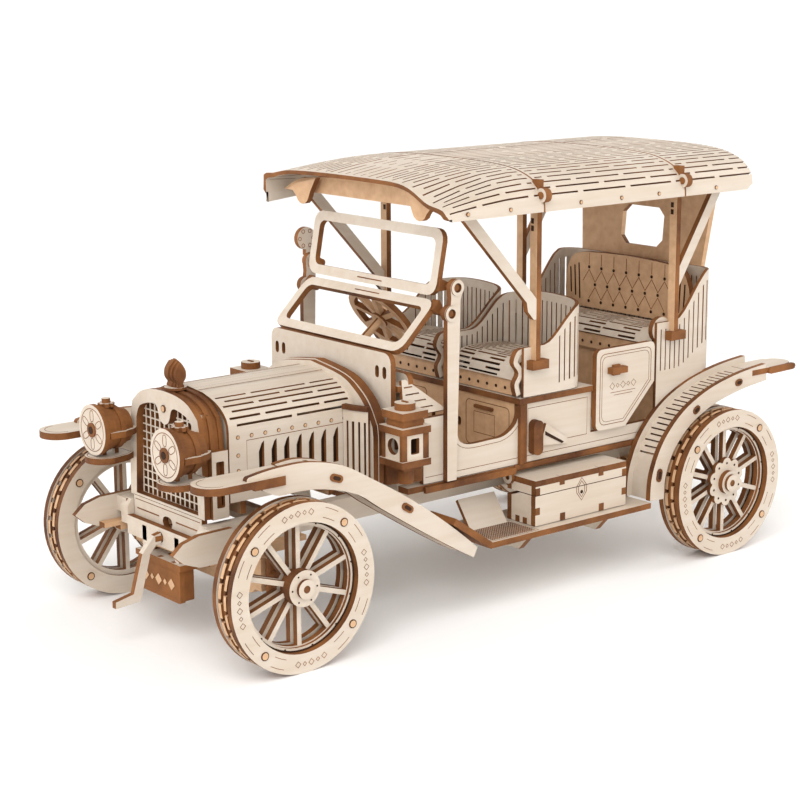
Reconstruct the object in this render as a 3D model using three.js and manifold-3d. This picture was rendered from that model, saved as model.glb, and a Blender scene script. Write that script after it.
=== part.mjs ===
// A plywood kit model of a brass-era touring car: flat laser-cut plates, slotted sheets bent to curves,
// four spoked wheels that turn, linked steering, swinging doors, a folding windshield and a tool box.
// Millimetres. +Z is up, the car looks along -Y, its left side is +X, and it stands on z = 0.
import * as THREE from "three";
import { mergeVertices } from "three/addons/utils/BufferGeometryUtils.js";
import Module from "manifold-3d";

const wasm = await Module();
wasm.setup();

// ---------- driving dimensions ----------
const PLY = 2.5; // sheet thickness
const GAP = 0.35; // clearance between neighbouring pieces

const WHEEL_RADIUS = 32.5;
const WHEEL_WIDTH = 12;
const WHEEL_OUTER_X = 68; // outer face of the tyre
const FRONT_AXLE_Y = -121;
const REAR_AXLE_Y = 111;
const SPOKES = 10;
const AXLE_RADIUS = 2.4;
const AXLE_END_X = 63.5; // the axles end inside the wheel hubs
const KINGPIN_X = 47; // the front wheels steer about this line

const RAIL_X = 27; // centre of a chassis rail
const RAIL_BOTTOM = 40;
const RAIL_TOP = 50;

const CRANK_Z = 40.2;

const FLOOR_TOP = 54;
const BODY_X = 46; // outer face of the body sides
const SEAT_BASE_Z = 79.5; // underside of the front seat plate
const DOOR_Y = [46.5, 82];
const REAR_TUB_Y = [84, 121];

const RADIATOR_Y = [-136.5, -126];
const HOOD_Y = [-125.5, -66];

const FENDER_X = [46.8, 61.5];
const BOARD_X = [46.8, 62.5];
const BOARD_Z = 30; // top of the running boards
const BOARD_Y = [-24, 67];

const TOOL_BOX_X = [41, 58];
const TOOL_BOX_Y = [3.5, 56];
const TOOL_BOX_SEAM = 43; // where the lid meets the box
const TOOL_BOX_TOP = 49.5;
const LID_AXIS = { x: 44, z: 47 };

const ROOF_HALF = 61; // half width of the canopy
const ROOF_Y = [-46, 128];
const ROOF_EDGE_Z = 160;
const ROOF_CROWN_Z = 177.5;

const POST_X = 50.5; // outer face of the roof posts
const MID_BOW_Y = 8;
const REAR_BOW_Y = 88;
const MID_POST_Y = 10;
const REAR_POST_Y = 91.5;

const SCREEN_HALF = 42; // half width of the windshield frames
const SCREEN_UPPER_AXIS = { y: -31, z: 132 };
const SCREEN_LOWER_AXIS = { y: -34, z: 122 };

const STEERING = { x: -20, y: -14, z: 109, radius: 17, tilt: 0.9 }; // tilt of the column from upright, rad

// ---------- materials ----------
const PALE_PLY = 0xe9dccb;
const SHADED_PLY = 0xcdb195;
const DARK_PLY = 0x9a6a3c;

function plyMaterial(color) {
  return new THREE.MeshStandardMaterial({ color, roughness: 0.75, metalness: 0 });
}

// ---------- geometry helpers ----------
function outline(points) {
  return new THREE.Shape(points.map(([u, v]) => new THREE.Vector2(u, v)));
}

// Points on an arc about (u, v), from angle a to angle b.
function arcPoints(radius, a, b, steps, u = 0, v = 0) {
  return Array.from({ length: steps + 1 }, (_, i) => {
    const angle = a + ((b - a) * i) / steps;
    return [u + radius * Math.cos(angle), v + radius * Math.sin(angle)];
  });
}

function circlePoints(radius, steps, u = 0, v = 0) {
  return arcPoints(radius, 0, 2 * Math.PI, steps, u, v).slice(0, -1);
}

// A polygon whose flats touch the circle, with one flat facing straight down.
function tyrePoints(radius, steps) {
  const half = Math.PI / steps;
  return arcPoints(radius / Math.cos(half), half, half + 2 * Math.PI, steps).slice(0, -1);
}

// A flat shape with one or more openings, each a closed list of points.
function pierced(points, ...openings) {
  const shape = outline(points);
  for (const opening of openings) {
    shape.holes.push(new THREE.Path(opening.map(([u, v]) => new THREE.Vector2(u, v))));
  }
  return shape;
}

// A flat plate in one of the three principal planes, from depth a to depth b.
function plate(shape, plane, a, b, segments = 8) {
  const geometry = new THREE.ExtrudeGeometry(shape, {
    depth: b - a,
    bevelEnabled: false,
    curveSegments: segments,
  });
  geometry.translate(0, 0, a);
  const basis = {
    x: new THREE.Matrix4().set(0, 0, 1, 0, 1, 0, 0, 0, 0, 1, 0, 0, 0, 0, 0, 1),
    y: new THREE.Matrix4().set(1, 0, 0, 0, 0, 0, -1, 0, 0, 1, 0, 0, 0, 0, 0, 1),
    z: new THREE.Matrix4(),
  };
  // The y plane looks along -Y, so its depths are mirrored to keep a < b in world Y.
  if (plane === "y") geometry.translate(0, 0, -(a + b));
  return geometry.applyMatrix4(basis[plane]);
}

function box(x0, x1, y0, y1, z0, z1) {
  return new THREE.BoxGeometry(x1 - x0, y1 - y0, z1 - z0).translate(
    (x0 + x1) / 2,
    (y0 + y1) / 2,
    (z0 + z1) / 2,
  );
}

// A round bar from one point to another.
function bar(from, to, radius, sides = 16) {
  const a = new THREE.Vector3(...from);
  const b = new THREE.Vector3(...to);
  const geometry = new THREE.CylinderGeometry(radius, radius, a.distanceTo(b), sides);
  const turn = new THREE.Quaternion().setFromUnitVectors(
    new THREE.Vector3(0, 1, 0),
    b.clone().sub(a).normalize(),
  );
  geometry.applyQuaternion(turn);
  return geometry.translate(...a.add(b).multiplyScalar(0.5).toArray());
}

// A flat strip between two points of the YZ plane, from x0 to x1, square across its length.
function strip(from, to, width, x0, x1) {
  const along = new THREE.Vector2(to[0] - from[0], to[1] - from[1]).normalize();
  const side = [(-along.y * width) / 2, (along.x * width) / 2];
  const corners = [
    [from[0] - side[0], from[1] - side[1]],
    [to[0] - side[0], to[1] - side[1]],
    [to[0] + side[0], to[1] + side[1]],
    [from[0] + side[0], from[1] + side[1]],
  ];
  return plate(outline(corners), "x", x0, x1);
}

function toSolid(geometry) {
  const bare = geometry.index ? geometry.toNonIndexed() : geometry.clone();
  bare.deleteAttribute("normal");
  bare.deleteAttribute("uv");
  const merged = mergeVertices(bare, 1e-4);
  return new wasm.Manifold(
    new wasm.Mesh({
      numProp: 3,
      vertProperties: new Float32Array(merged.attributes.position.array),
      triVerts: new Uint32Array(merged.index.array),
    }),
  );
}

function toGeometry(solid) {
  const mesh = solid.getMesh();
  return new THREE.BufferGeometry()
    .setAttribute("position", new THREE.BufferAttribute(mesh.vertProperties, 3))
    .setIndex(new THREE.BufferAttribute(mesh.triVerts, 1))
    .toNonIndexed();
}

function join(...geometries) {
  return toGeometry(geometries.map(toSolid).reduce((sum, next) => sum.add(next)));
}

function cut(body, ...tools) {
  return toGeometry(tools.map(toSolid).reduce((rest, tool) => rest.subtract(tool), toSolid(body)));
}

// The same solid on the car's right side, with its faces still pointing out.
function mirrored(geometry) {
  const copy = (geometry.index ? geometry.toNonIndexed() : geometry.clone()).scale(-1, 1, 1);
  const p = copy.attributes.position;
  for (let i = 0; i < p.count; i += 3) {
    const b = [p.getX(i + 1), p.getY(i + 1), p.getZ(i + 1)];
    p.setXYZ(i + 1, p.getX(i + 2), p.getY(i + 2), p.getZ(i + 2));
    p.setXYZ(i + 2, ...b);
  }
  copy.deleteAttribute("normal");
  if (copy.attributes.uv) copy.deleteAttribute("uv");
  return copy;
}

const car = new THREE.Group();

function add(name, geometry, color = PALE_PLY) {
  geometry.computeVertexNormals();
  const mesh = new THREE.Mesh(geometry, plyMaterial(color));
  mesh.name = name;
  car.add(mesh);
  return mesh;
}

function addPair(name, geometry, color = PALE_PLY) {
  add(`${name}_left`, geometry, color);
  add(`${name}_right`, mirrored(geometry), color);
}

// ---------- chassis ----------
function chassisFrame() {
  const rail = [
    [-139.5, RAIL_TOP - 3],
    [-137.5, RAIL_TOP],
    [132, RAIL_TOP],
    [146, 56],
    [150, 52],
    [136, RAIL_BOTTOM + 2],
    [-139.5, RAIL_BOTTOM],
  ];
  // The spring horns stand outside the springs, each on a block beside the front end of its rail.
  const horn = plate(outline([
    [-157.5, 44.5],
    [-153, 48.3],
    [-146, 50.2],
    [-131, 50.5],
    [-130, 38],
    [-146, 38],
    [-153, 40.6],
  ]), "x", 34.3, 36.8);
  const parts = [-1, 1].map((side) =>
    plate(outline(rail), "x", side * RAIL_X - PLY, side * RAIL_X + PLY),
  );
  const hornWithBlock = join(horn, box(RAIL_X, 34.8, -138.5, -132, 43.6, 49.8));
  parts.push(hornWithBlock, mirrored(hornWithBlock));
  const crossings = [-104, -40, 20, 74, 131];
  for (const y of crossings) {
    parts.push(box(-RAIL_X, RAIL_X, y - 2, y + 2, RAIL_BOTTOM + 2, RAIL_TOP - 1));
  }
  return join(...parts);
}

// A leaf spring stack beside a rail: a long top leaf, shorter leaves below, a clamp round the middle.
function leafSpring(y, halfLength, bottomZ) {
  const leaf = 2;
  const shares = [0.45, 0.72, 1];
  const leaves = shares.map((share, i) =>
    box(30, 34, y - halfLength * share, y + halfLength * share, bottomZ + leaf * i,
      bottomZ + leaf * (i + 1)),
  );
  return join(...leaves, box(29.8, 34.2, y - 3.5, y + 3.5, bottomZ, bottomZ + 8));
}

function frontAxleBeam() {
  const beam = outline([
    [-43, 28],
    [-38, 24],
    [38, 24],
    [43, 28],
    [43, 38],
    [36, 34],
    [-36, 34],
    [-43, 38],
  ]);
  const y = FRONT_AXLE_Y;
  return join(
    plate(beam, "y", y - 3, y + 3),
    box(-44.5, -40, y - 3, y + 3, 26, 39),
    box(40, 44.5, y - 3, y + 3, 26, 39),
  );
}

function rearAxle() {
  const y = REAR_AXLE_Y;
  return join(
    bar([-AXLE_END_X, y, WHEEL_RADIUS], [AXLE_END_X, y, WHEEL_RADIUS], AXLE_RADIUS, 16),
    bar([-7, y, WHEEL_RADIUS], [7, y, WHEEL_RADIUS], 8, 16),
    box(-38, 38, y - 3.5, y + 3.5, WHEEL_RADIUS - 3, WHEEL_RADIUS + 3),
  );
}

// ---------- wheels and steering ----------
function spokePlateShape() {
  const rim = 26.5;
  const windowOuter = 24.3;
  const hub = 7.5;
  const pitch = (2 * Math.PI) / SPOKES;
  const inner = pitch / 2 - 1.9 / hub;
  const outer = pitch / 2 - 1.6 / windowOuter;
  const windows = Array.from({ length: SPOKES }, (_, k) => {
    const mid = Math.PI / 2 + pitch * (k + 0.5);
    return [
      ...arcPoints(windowOuter, mid - outer, mid + outer, 3),
      ...arcPoints(hub, mid + inner, mid - inner, 1),
    ];
  });
  return pierced(circlePoints(rim, 40), ...windows);
}

// A wheel about the X axis through the origin, its outer face towards +X.
function wheel() {
  const half = WHEEL_WIDTH / 2;
  const solid = join(
    plate(pierced(tyrePoints(WHEEL_RADIUS, 44), circlePoints(25, 40)), "x", -half, half),
    plate(spokePlateShape(), "x", -PLY, PLY),
    bar([-half - 1, 0, 0], [half + 1.5, 0, 0], 4.2, 16),
    bar([PLY, 0, 0], [half - 2, 0, 0], 7, 20),
  );
  const boreEnd = AXLE_END_X + GAP - (WHEEL_OUTER_X - half);
  return cut(solid, bar([-half - 2, 0, 0], [boreEnd, 0, 0], AXLE_RADIUS + 0.3, 20));
}

// The steering knuckle: a round upright on the kingpin line, a stub towards the wheel and an arm to the rear.
function knuckle() {
  const y = FRONT_AXLE_Y;
  return join(
    bar([KINGPIN_X, y, 25.5], [KINGPIN_X, y, 39.5], 2.2, 16),
    bar([KINGPIN_X, y, WHEEL_RADIUS], [AXLE_END_X, y, WHEEL_RADIUS], AXLE_RADIUS, 16),
    box(KINGPIN_X - 1.2, KINGPIN_X + 1.2, y, y + 16, 28, 31),
  );
}

function tieRod() {
  const y = FRONT_AXLE_Y + 14;
  return join(
    box(-49, 49, y - 1.5, y + 1.5, 24.2, 27),
    box(-49.5, -44.5, y - 2.2, y + 2.2, 23.7, 27.4),
    box(44.5, 49.5, y - 2.2, y + 2.2, 23.7, 27.4),
  );
}

function steeringWheel() {
  const { x, y, z, radius, tilt } = STEERING;
  const rim = pierced(circlePoints(radius, 28), circlePoints(radius - 3, 28));
  const spokes = [0, 1, 2, 3].map((k) =>
    new THREE.BoxGeometry(2 * radius - 3, 2.4, PLY).rotateZ((k * Math.PI) / 4 + Math.PI / 8),
  );
  const flat = plate(rim, "z", -PLY / 2, PLY / 2);
  const hub = new THREE.CylinderGeometry(4, 4, 4.5, 16).rotateX(Math.PI / 2);
  const column = new THREE.CylinderGeometry(1.8, 1.8, 46, 12).rotateX(Math.PI / 2).translate(0, 0, -23);
  return join(flat, ...spokes, hub, column).rotateX(-tilt).translate(x, y, z);
}

// ---------- front end ----------
function radiatorOutline() {
  const shape = new THREE.Shape();
  const foot = 26.3;
  const shoulder = 23.2;
  const between = RAIL_X - PLY - GAP; // the lower panel passes between the rails
  shape.moveTo(-between, 36);
  shape.lineTo(between, 36);
  shape.lineTo(between, RAIL_TOP + 1);
  shape.lineTo(foot, RAIL_TOP + 1);
  shape.lineTo(shoulder, 90);
  shape.quadraticCurveTo(12, 97.5, 0, 97.5);
  shape.quadraticCurveTo(-12, 97.5, -shoulder, 90);
  shape.lineTo(-foot, RAIL_TOP + 1);
  shape.lineTo(-between, RAIL_TOP + 1);
  return shape;
}

function radiatorShell() {
  const opening = outline([
    [-22, 51],
    [22, 51],
    [20.5, 86],
    [6, 90],
    [0, 85],
    [-6, 90],
    [-20.5, 86],
  ]);
  const body = plate(radiatorOutline(), "y", RADIATOR_Y[0], RADIATOR_Y[1], 8);
  return cut(body, plate(opening, "y", RADIATOR_Y[0] - 1, RADIATOR_Y[1] + 1));
}

function radiatorGrille() {
  const core = outline([
    [-21.5, 51.5],
    [21.5, 51.5],
    [20, 85.5],
    [6, 89.3],
    [0, 84.4],
    [-6, 89.3],
    [-20, 85.5],
  ]);
  return plate(core, "y", RADIATOR_Y[0] + 3, RADIATOR_Y[0] + 5.5);
}

function radiatorCap() {
  const profile = [
    [0, 97.9],
    [4, 97.9],
    [3, 99.4],
    [3.4, 101.5],
    [4.4, 104],
    [3.6, 107],
    [1.6, 109.2],
    [0, 109.6],
  ];
  const lathe = new THREE.LatheGeometry(profile.map(([r, z]) => new THREE.Vector2(r, z)), 10);
  return lathe.rotateX(Math.PI / 2).translate(0, -131, 0);
}

// A drum headlamp on a fork, with a cap on top and a bracket back to the radiator.
function headlamp() {
  const x = 26.2;
  const z = 80;
  return join(
    bar([x, -153, z], [x, -149, z], 10, 24),
    bar([x, -149.5, z], [x, -141, z], 8.2, 20),
    bar([x, -141.5, z], [x, -138, z], 5.5, 16),
    bar([x, -147, z + 7], [x, -147, z + 12], 3.6, 10),
    box(x - 5, x + 5, -153, -136.9, z - 12, z - 9.5),
    box(x - 2, x + 2, -147, -143, z - 11, z - 6),
    box(x - 9, x + 9, -142, -136.9, z - 2.5, z),
  );
}

// The number plate hangs on two straps from a cross bar; the crank's shaft runs through the bar.
function numberPlate() {
  const body = join(
    box(-15, 15, -140.4, -134.6, 17, 31),
    box(-16, 16, -141, -134, 30, 32.5),
    box(-13, -10, -140, -137.2, 31, 42.4),
    box(10, 13, -140, -137.2, 31, 42.4),
    box(-24.1, 24.1, -140, -137.2, 36.5, 44),
  );
  return cut(body, bar([0, -150, CRANK_Z], [0, -130, CRANK_Z], 2.2, 14));
}

// A cranked plate on a short shaft; its far end is the grip.
function crankHandle() {
  const handle = outline([
    [-140.4, CRANK_Z + 2.2],
    [-143.5, CRANK_Z + 1.4],
    [-149, 35.5],
    [-153.4, 20.3],
    [-161.5, 18.6],
    [-161.5, 16],
    [-150.4, 16.8],
    [-145.4, 35],
    [-142.5, CRANK_Z - 2.2],
    [-140.4, CRANK_Z - 2.2],
  ]);
  return join(plate(handle, "x", -1.25, 1.25), bar([0, -143, CRANK_Z], [0, -136.9, CRANK_Z], 1.7, 12));
}

function hoodSection(inset, top) {
  const half = 27.5 - inset;
  return [
    [half, 58],
    [half, 83],
    [half - 2.5, 89 - inset],
    [half - 8, 94 - inset],
    [half - 15, top - 0.7 - inset],
    [0, top - inset],
    [-half + 15, top - 0.7 - inset],
    [-half + 8, 94 - inset],
    [-half + 2.5, 89 - inset],
    [-half, 83],
    [-half, 58],
  ];
}

function hood() {
  const outer = plate(outline(hoodSection(0, 98)), "y", HOOD_Y[0], HOOD_Y[1]);
  const inner = outline([...hoodSection(PLY, 98)].map(([u, v]) => [u, v === 58 ? 50 : v]));
  return cut(outer, plate(inner, "y", HOOD_Y[0] - 1, HOOD_Y[1] + 1));
}

// Two ribs on a spine stand inside the hood and hold its bent sheet in shape.
function hoodRibs() {
  const section = hoodSection(PLY + GAP, 98).map(([u, v]) => [u, v === 58 ? 51 : v]);
  const rib = (y) => plate(outline(section), "y", y, y + PLY);
  return join(rib(-119), rib(-77), box(-1.25, 1.25, -119, -75, 51, 90));
}

// The arched dash board with the flat firewall board standing behind it.
function firewall() {
  const arch = new THREE.Shape();
  arch.moveTo(-42, 58);
  arch.lineTo(42, 58);
  arch.lineTo(42, 80);
  arch.quadraticCurveTo(37, 101, 16, 102);
  arch.lineTo(-16, 102);
  arch.quadraticCurveTo(-37, 101, -42, 80);
  return join(
    plate(arch, "y", -64.5, -61.5, 6),
    box(-39.9, 39.9, -57.5, -55, 60, 107.4),
    box(-34, 34, -62, -57, 60, 62.5),
    box(-30, 30, -62, -57, 92, 94.5),
  );
}

// Side walls that run from the firewall out to the body, tied by the dashboard.
function cowl() {
  const wall = outline([
    [39.3, -61.2],
    [42, -61.2],
    [BODY_X, -46.4],
    [43.4, -46.4],
  ]);
  const left = plate(wall, "z", 56, 80);
  // A short sloping plate runs out over each wall from the shelf.
  const shoulder = plate(outline([
    [34, 94],
    [34.8, 95.7],
    [48.6, 89.2],
    [47.9, 87.6],
  ]), "y", -53.3, -47);
  return join(
    left,
    mirrored(left),
    shoulder,
    mirrored(shoulder),
    box(-43, 43, -49.5, -47, 87, 100),
    box(38, 43, -49.5, -47, 77, 88),
    box(-43, -38, -49.5, -47, 77, 88),
    box(-41, 41, -54.6, -48, 92, 94.5),
  );
}

// ---------- body ----------
function floorPan() {
  return join(
    box(-BODY_X, BODY_X, -54, 116, FLOOR_TOP - PLY, FLOOR_TOP),
    box(-40, 40, -54.5, -50, FLOOR_TOP - PLY, 62),
  );
}

// One body side: the cowl corner, the low front entrance, the seat side and the panel under the door.
function bodySide() {
  const side = new THREE.Shape();
  side.moveTo(-46, 54.4);
  side.lineTo(82, 54.4);
  side.lineTo(82, 61.3);
  side.lineTo(46.2, 61.3);
  side.lineTo(46.2, 79);
  side.lineTo(5.2, 79);
  side.quadraticCurveTo(3, 67, -12, 67);
  side.quadraticCurveTo(-28, 67, -28.5, 72);
  side.lineTo(-28.5, 81);
  side.lineTo(-46, 81);
  return plate(side, "x", BODY_X - PLY, BODY_X, 5);
}

// A tub seat: a U of sheet in plan, its arms low in front and its back high.
function tub(x0, x1, y0, y1, z0, arm, back, wall, corner) {
  const plan = (inset) => {
    const shape = new THREE.Shape();
    const r = corner - inset;
    const [a, b, d] = [x0 + inset, x1 - inset, y1 - inset];
    const front = y0 - (inset ? 2 : 0);
    shape.moveTo(a, front);
    shape.lineTo(b, front);
    shape.lineTo(b, d - r);
    shape.absarc(b - r, d - r, r, 0, Math.PI / 2, false);
    shape.absarc(a + r, d - r, r, Math.PI / 2, Math.PI, false);
    return shape;
  };
  const slope = outline([
    [y0 - 5, arm],
    [y0 + 0.55 * (y1 - y0), arm + 1],
    [y0 + 0.85 * (y1 - y0), back - 2],
    [y1 + 5, back],
    [y1 + 5, back + 60],
    [y0 - 5, back + 60],
  ]);
  return cut(
    plate(plan(0), "z", z0, back, 5),
    plate(plan(wall), "z", z0 - 1, back + 1, 5),
    plate(slope, "x", x0 - 5, x1 + 5),
  );
}

function cushion(x0, x1, y0, y1, z0, z1) {
  const side = outline([
    [y0, z0],
    [y1, z0],
    [y1, z1 - 1],
    [y1 - 1, z1],
    [y0 + 4, z1],
    [y0 + 1, z1 - 1.4],
    [y0, z1 - 4],
  ]);
  return plate(side, "x", x0, x1);
}

function frontSeatBase() {
  return join(
    box(-47.5, 47.5, 4.2, 46, SEAT_BASE_Z, SEAT_BASE_Z + PLY),
    box(-42.9, 42.9, 5, 7.5, 54.4, SEAT_BASE_Z + 0.5),
    box(-42.9, 42.9, 42.5, 45, 54.4, SEAT_BASE_Z + 0.5),
  );
}

function rearSeatBase() {
  return join(
    box(-42.9, 42.9, 88, 90.5, 54.4, 86),
    box(-42.9, 42.9, 88, 111.5, 84, 86.5),
  );
}

// A rear door about the hinge line at its rear edge, its lower corner cut away over the fender.
function door() {
  const [front, rear] = DOOR_Y;
  const panel = new THREE.Shape();
  panel.moveTo(front + 4, 62);
  panel.lineTo(64, 62);
  panel.lineTo(rear - 0.5, 79);
  panel.lineTo(rear - 0.5, 94.5);
  panel.quadraticCurveTo(rear - 0.5, 97, rear - 3.5, 97);
  panel.lineTo(front + 4, 97);
  panel.quadraticCurveTo(front, 97, front, 93);
  panel.lineTo(front, 66);
  panel.quadraticCurveTo(front, 62, front + 4, 62);
  return join(
    plate(panel, "x", BODY_X + GAP, BODY_X + GAP + PLY, 4),
    box(BODY_X + 2, BODY_X + 6, 53, 62, 86, 89),
  );
}

function rearTub() {
  return tub(-BODY_X, BODY_X, REAR_TUB_Y[0], REAR_TUB_Y[1], 61.5, 104, 124, PLY, 9);
}

function rearBackrest() {
  const back = outline([
    [-36, 98.5],
    [36, 98.5],
    [39, 108],
    [38, 119],
    [32, 125],
    [-32, 125],
    [-38, 119],
    [-39, 108],
  ]);
  return plate(back, "y", 113, 117);
}

// ---------- fenders and running boards ----------
const FRONT_FENDER_TOP = [
  [-159.5, 75.3],
  [-140, 76.6],
  [-125, 77.4],
  [-113, 77.2],
  [-98, 73.6],
  [-84, 66.4],
  [-65, 55],
  [-47, 41.6],
  [-31, 29.8],
];
const REAR_FENDER_TOP = [
  [68.5, 31],
  [68.5, 44],
  [75, 57],
  [87, 67.5],
  [103, 75],
  [122, 79.5],
  [142, 82],
  [161.5, 79],
];

// The band below a line: its lower edge is the line moved down square to itself by depth.
function bandBelow(line, depth) {
  const lower = line.map(([u, v], i) => {
    const before = line[Math.max(i - 1, 0)];
    const after = line[Math.min(i + 1, line.length - 1)];
    const along = new THREE.Vector2(after[0] - before[0], after[1] - before[1]).normalize();
    return [u + along.y * depth, v - along.x * depth];
  });
  return outline([...line, ...lower.reverse()]);
}

function fender(line, sideDepth) {
  const [inner, outer] = FENDER_X;
  return join(
    plate(bandBelow(line, 2), "x", inner, outer),
    plate(bandBelow(line, sideDepth), "x", outer - PLY, outer),
    plate(bandBelow(line, sideDepth), "x", inner, inner + PLY),
  );
}

function runningBoard() {
  const [y0, y1] = BOARD_Y;
  // The front end turns up and lies along the tail of the front fender.
  const lip = outline([
    [y0 + 0.2, BOARD_Z],
    [y0, BOARD_Z],
    [-43, BOARD_Z + 13.2],
    [-44.6, BOARD_Z + 11.1],
    [y0 - 0.8, BOARD_Z - PLY],
    [y0 + 0.2, BOARD_Z - PLY],
  ]);
  return join(
    box(BOARD_X[0], BOARD_X[1], y0, y1, BOARD_Z - PLY, BOARD_Z),
    box(30, BOARD_X[0] + 1, y0, y1, BOARD_Z - PLY, BOARD_Z),
    plate(lip, "x", BOARD_X[0], BOARD_X[1]),
    box(33, 60, -2, 1, BOARD_Z - 8, BOARD_Z - 1),
    box(33, 60, 42, 45, BOARD_Z - 8, BOARD_Z - 1),
  );
}

function toolBox() {
  const [x0, x1] = TOOL_BOX_X;
  const [y0, y1] = TOOL_BOX_Y;
  const base = BOARD_Z + GAP;
  return cut(
    box(x0, x1, y0, y1, base, TOOL_BOX_SEAM),
    box(x0 + PLY, x1 - PLY, y0 + PLY, y1 - PLY, base + PLY, TOOL_BOX_SEAM + 5),
    bar([LID_AXIS.x, y0 - 1, LID_AXIS.z], [LID_AXIS.x, y1 + 1, LID_AXIS.z], 4.95, 24),
  );
}

// The lid turns about a line near its inner edge; the box is scooped there to let it pass.
function toolBoxLid() {
  const [x0, x1] = TOOL_BOX_X;
  const [y0, y1] = TOOL_BOX_Y;
  const bottom = TOOL_BOX_SEAM + GAP;
  return cut(
    box(x0, x1, y0, y1, bottom, TOOL_BOX_TOP),
    box(x0 + PLY, x1 - PLY, y0 + PLY, y1 - PLY, bottom - 5, TOOL_BOX_TOP - PLY),
  );
}

// ---------- lamps on the cowl ----------
function sideLantern() {
  const [x, y] = [52, -60.2];
  const square = (half, z0, z1) => box(x - half, x + half, y - half, y + half, z0, z1);
  return join(
    bar([x, y, 59], [x, y, 65], 3.4, 12),
    square(4.5, 64.6, 67),
    square(7.3, 66.5, 69.3),
    box(42.6, 46, -63.5, -60.5, 66.5, 69.3),
    square(6, 69, 79.6),
    square(7.3, 79.3, 82),
    square(5.2, 81.8, 85.4),
    square(6.4, 85.2, 88.4),
    bar([x, y, 88], [x, y, 91.4], 4, 16),
  );
}

// ---------- windshield ----------
// A post on the outside of the body, with a pierced boss at each frame axis.
function screenPost() {
  const [x0, x1] = [BODY_X + GAP, BODY_X + GAP + PLY];
  const post = outline([
    [-36, 54.4],
    [-31.2, 54.4],
    [-28.6, 132],
    [-33.4, 133],
  ]);
  const boss = ({ y, z }) => plate(outline(circlePoints(3.4, 16, y, z)), "x", x0, x1);
  const hole = ({ y, z }) => bar([x0 - 1, y, z], [x1 + 1, y, z], 1.9, 14);
  return cut(
    join(plate(post, "x", x0, x1), boss(SCREEN_UPPER_AXIS), boss(SCREEN_LOWER_AXIS)),
    hole(SCREEN_UPPER_AXIS),
    hole(SCREEN_LOWER_AXIS),
  );
}

// The right post carries a round mirror on a short arm above the upper boss.
function screenPostWithMirror() {
  const arm = join(
    box(47.5, 51.2, -32.4, -29.6, 134.2, 136),
    box(48.8, 51.2, -32.4, -29.6, 134.2, 138),
    bar([48.8, -32, 141.5], [51.2, -32, 141.5], 4.8, 20),
  );
  return mirrored(join(screenPost(), arm));
}

// A rectangular frame beside its axis line: low and high run along the pane from the axis's foot,
// offset is the pane's distance in front of the axis, lean its turn about the axis.
function screenFrame(axis, lean, low, high, offset) {
  const barWidth = 4;
  const pane = pierced(
    [
      [-SCREEN_HALF, low],
      [SCREEN_HALF, low],
      [SCREEN_HALF, high],
      [-SCREEN_HALF, high],
    ],
    [
      [-SCREEN_HALF + barWidth, low + barWidth],
      [-SCREEN_HALF + barWidth, high - barWidth],
      [SCREEN_HALF - barWidth, high - barWidth],
      [SCREEN_HALF - barWidth, low + barWidth],
    ],
  );
  const frame = plate(pane, "y", -offset - PLY / 2, -offset + PLY / 2);
  const ear = join(
    bar([SCREEN_HALF - 3, 0, 0], [BODY_X + GAP + PLY - 0.2, 0, 0], 1.4, 10),
    box(SCREEN_HALF - 4, SCREEN_HALF, -offset - 1, 1.5, -3, 1.6),
  );
  return join(frame, ear, mirrored(ear)).rotateX(lean).translate(0, axis.y, axis.z);
}

// ---------- roof ----------
function canopySection() {
  const crown = ROOF_CROWN_Z;
  const h = ROOF_HALF;
  const outer = [
    [h, ROOF_EDGE_Z],
    [h, ROOF_EDGE_Z + 6],
    [h - 3, crown - 6.5],
    [h - 9, crown - 3],
    [h - 20, crown - 1],
    [0, crown],
  ];
  const inner = outer.map(([u, v]) => [u * 0.967, v - (v > ROOF_EDGE_Z ? 2 : 0)]);
  const whole = (half) => [...half, ...half.slice(0, -1).reverse().map(([u, v]) => [-u, v])];
  return [...whole(outer), ...whole(inner).reverse()];
}

function roofCanopy() {
  const [front, rear] = ROOF_Y;
  const body = plate(outline(canopySection()), "y", front, rear);
  const bow = (y) =>
    plate(
      outline([
        [-55, 166],
        [-40, 170],
        [40, 170],
        [55, 166],
        [58, 172],
        [40, 175.8],
        [-40, 175.8],
        [-58, 172],
      ]),
      "y",
      y,
      y + PLY,
    );
  return join(body, bow(front + 6), bow(MID_BOW_Y), bow(REAR_BOW_Y), bow(rear - 6));
}

// A post stands on a bracket outside the seat, and a slanting brace ties it to the roof.
function roofPost(y, foot, braceFrom, braceTo) {
  const x = POST_X;
  const width = 4.1;
  const bracketHeight = 3.8;
  const braceWidth = 4.6;
  return join(
    box(x - width, x, y, y + PLY, foot, 165.5),
    box(x - width, x + 1, y - 2.5, y + 6.5, foot, foot + bracketHeight),
    strip(braceFrom, braceTo, braceWidth, x - PLY, x),
  );
}

// The stiff rear curtain leans back; its window has clipped corners.
function rearCurtain() {
  const panel = [
    [-37, 0],
    [37, 0],
    [42, 46],
    [-42, 46],
  ];
  const window = [
    [-13, 14],
    [-13, 25],
    [-9.5, 28.5],
    [9.5, 28.5],
    [13, 25],
    [13, 14],
    [9.5, 10.5],
    [-9.5, 10.5],
  ];
  return plate(pierced(panel, window), "y", 0, PLY).rotateX(-0.09).translate(0, 121.4, 119);
}

// ---------- assembly ----------
add("chassis_frame", chassisFrame(), DARK_PLY);
add("front_axle_beam", frontAxleBeam());
add("rear_axle", rearAxle(), DARK_PLY);
addPair("leaf_spring_front", leafSpring(FRONT_AXLE_Y, 26, 34.4), DARK_PLY);
addPair("leaf_spring_rear", leafSpring(REAR_AXLE_Y, 30, 35.9), DARK_PLY);

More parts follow.
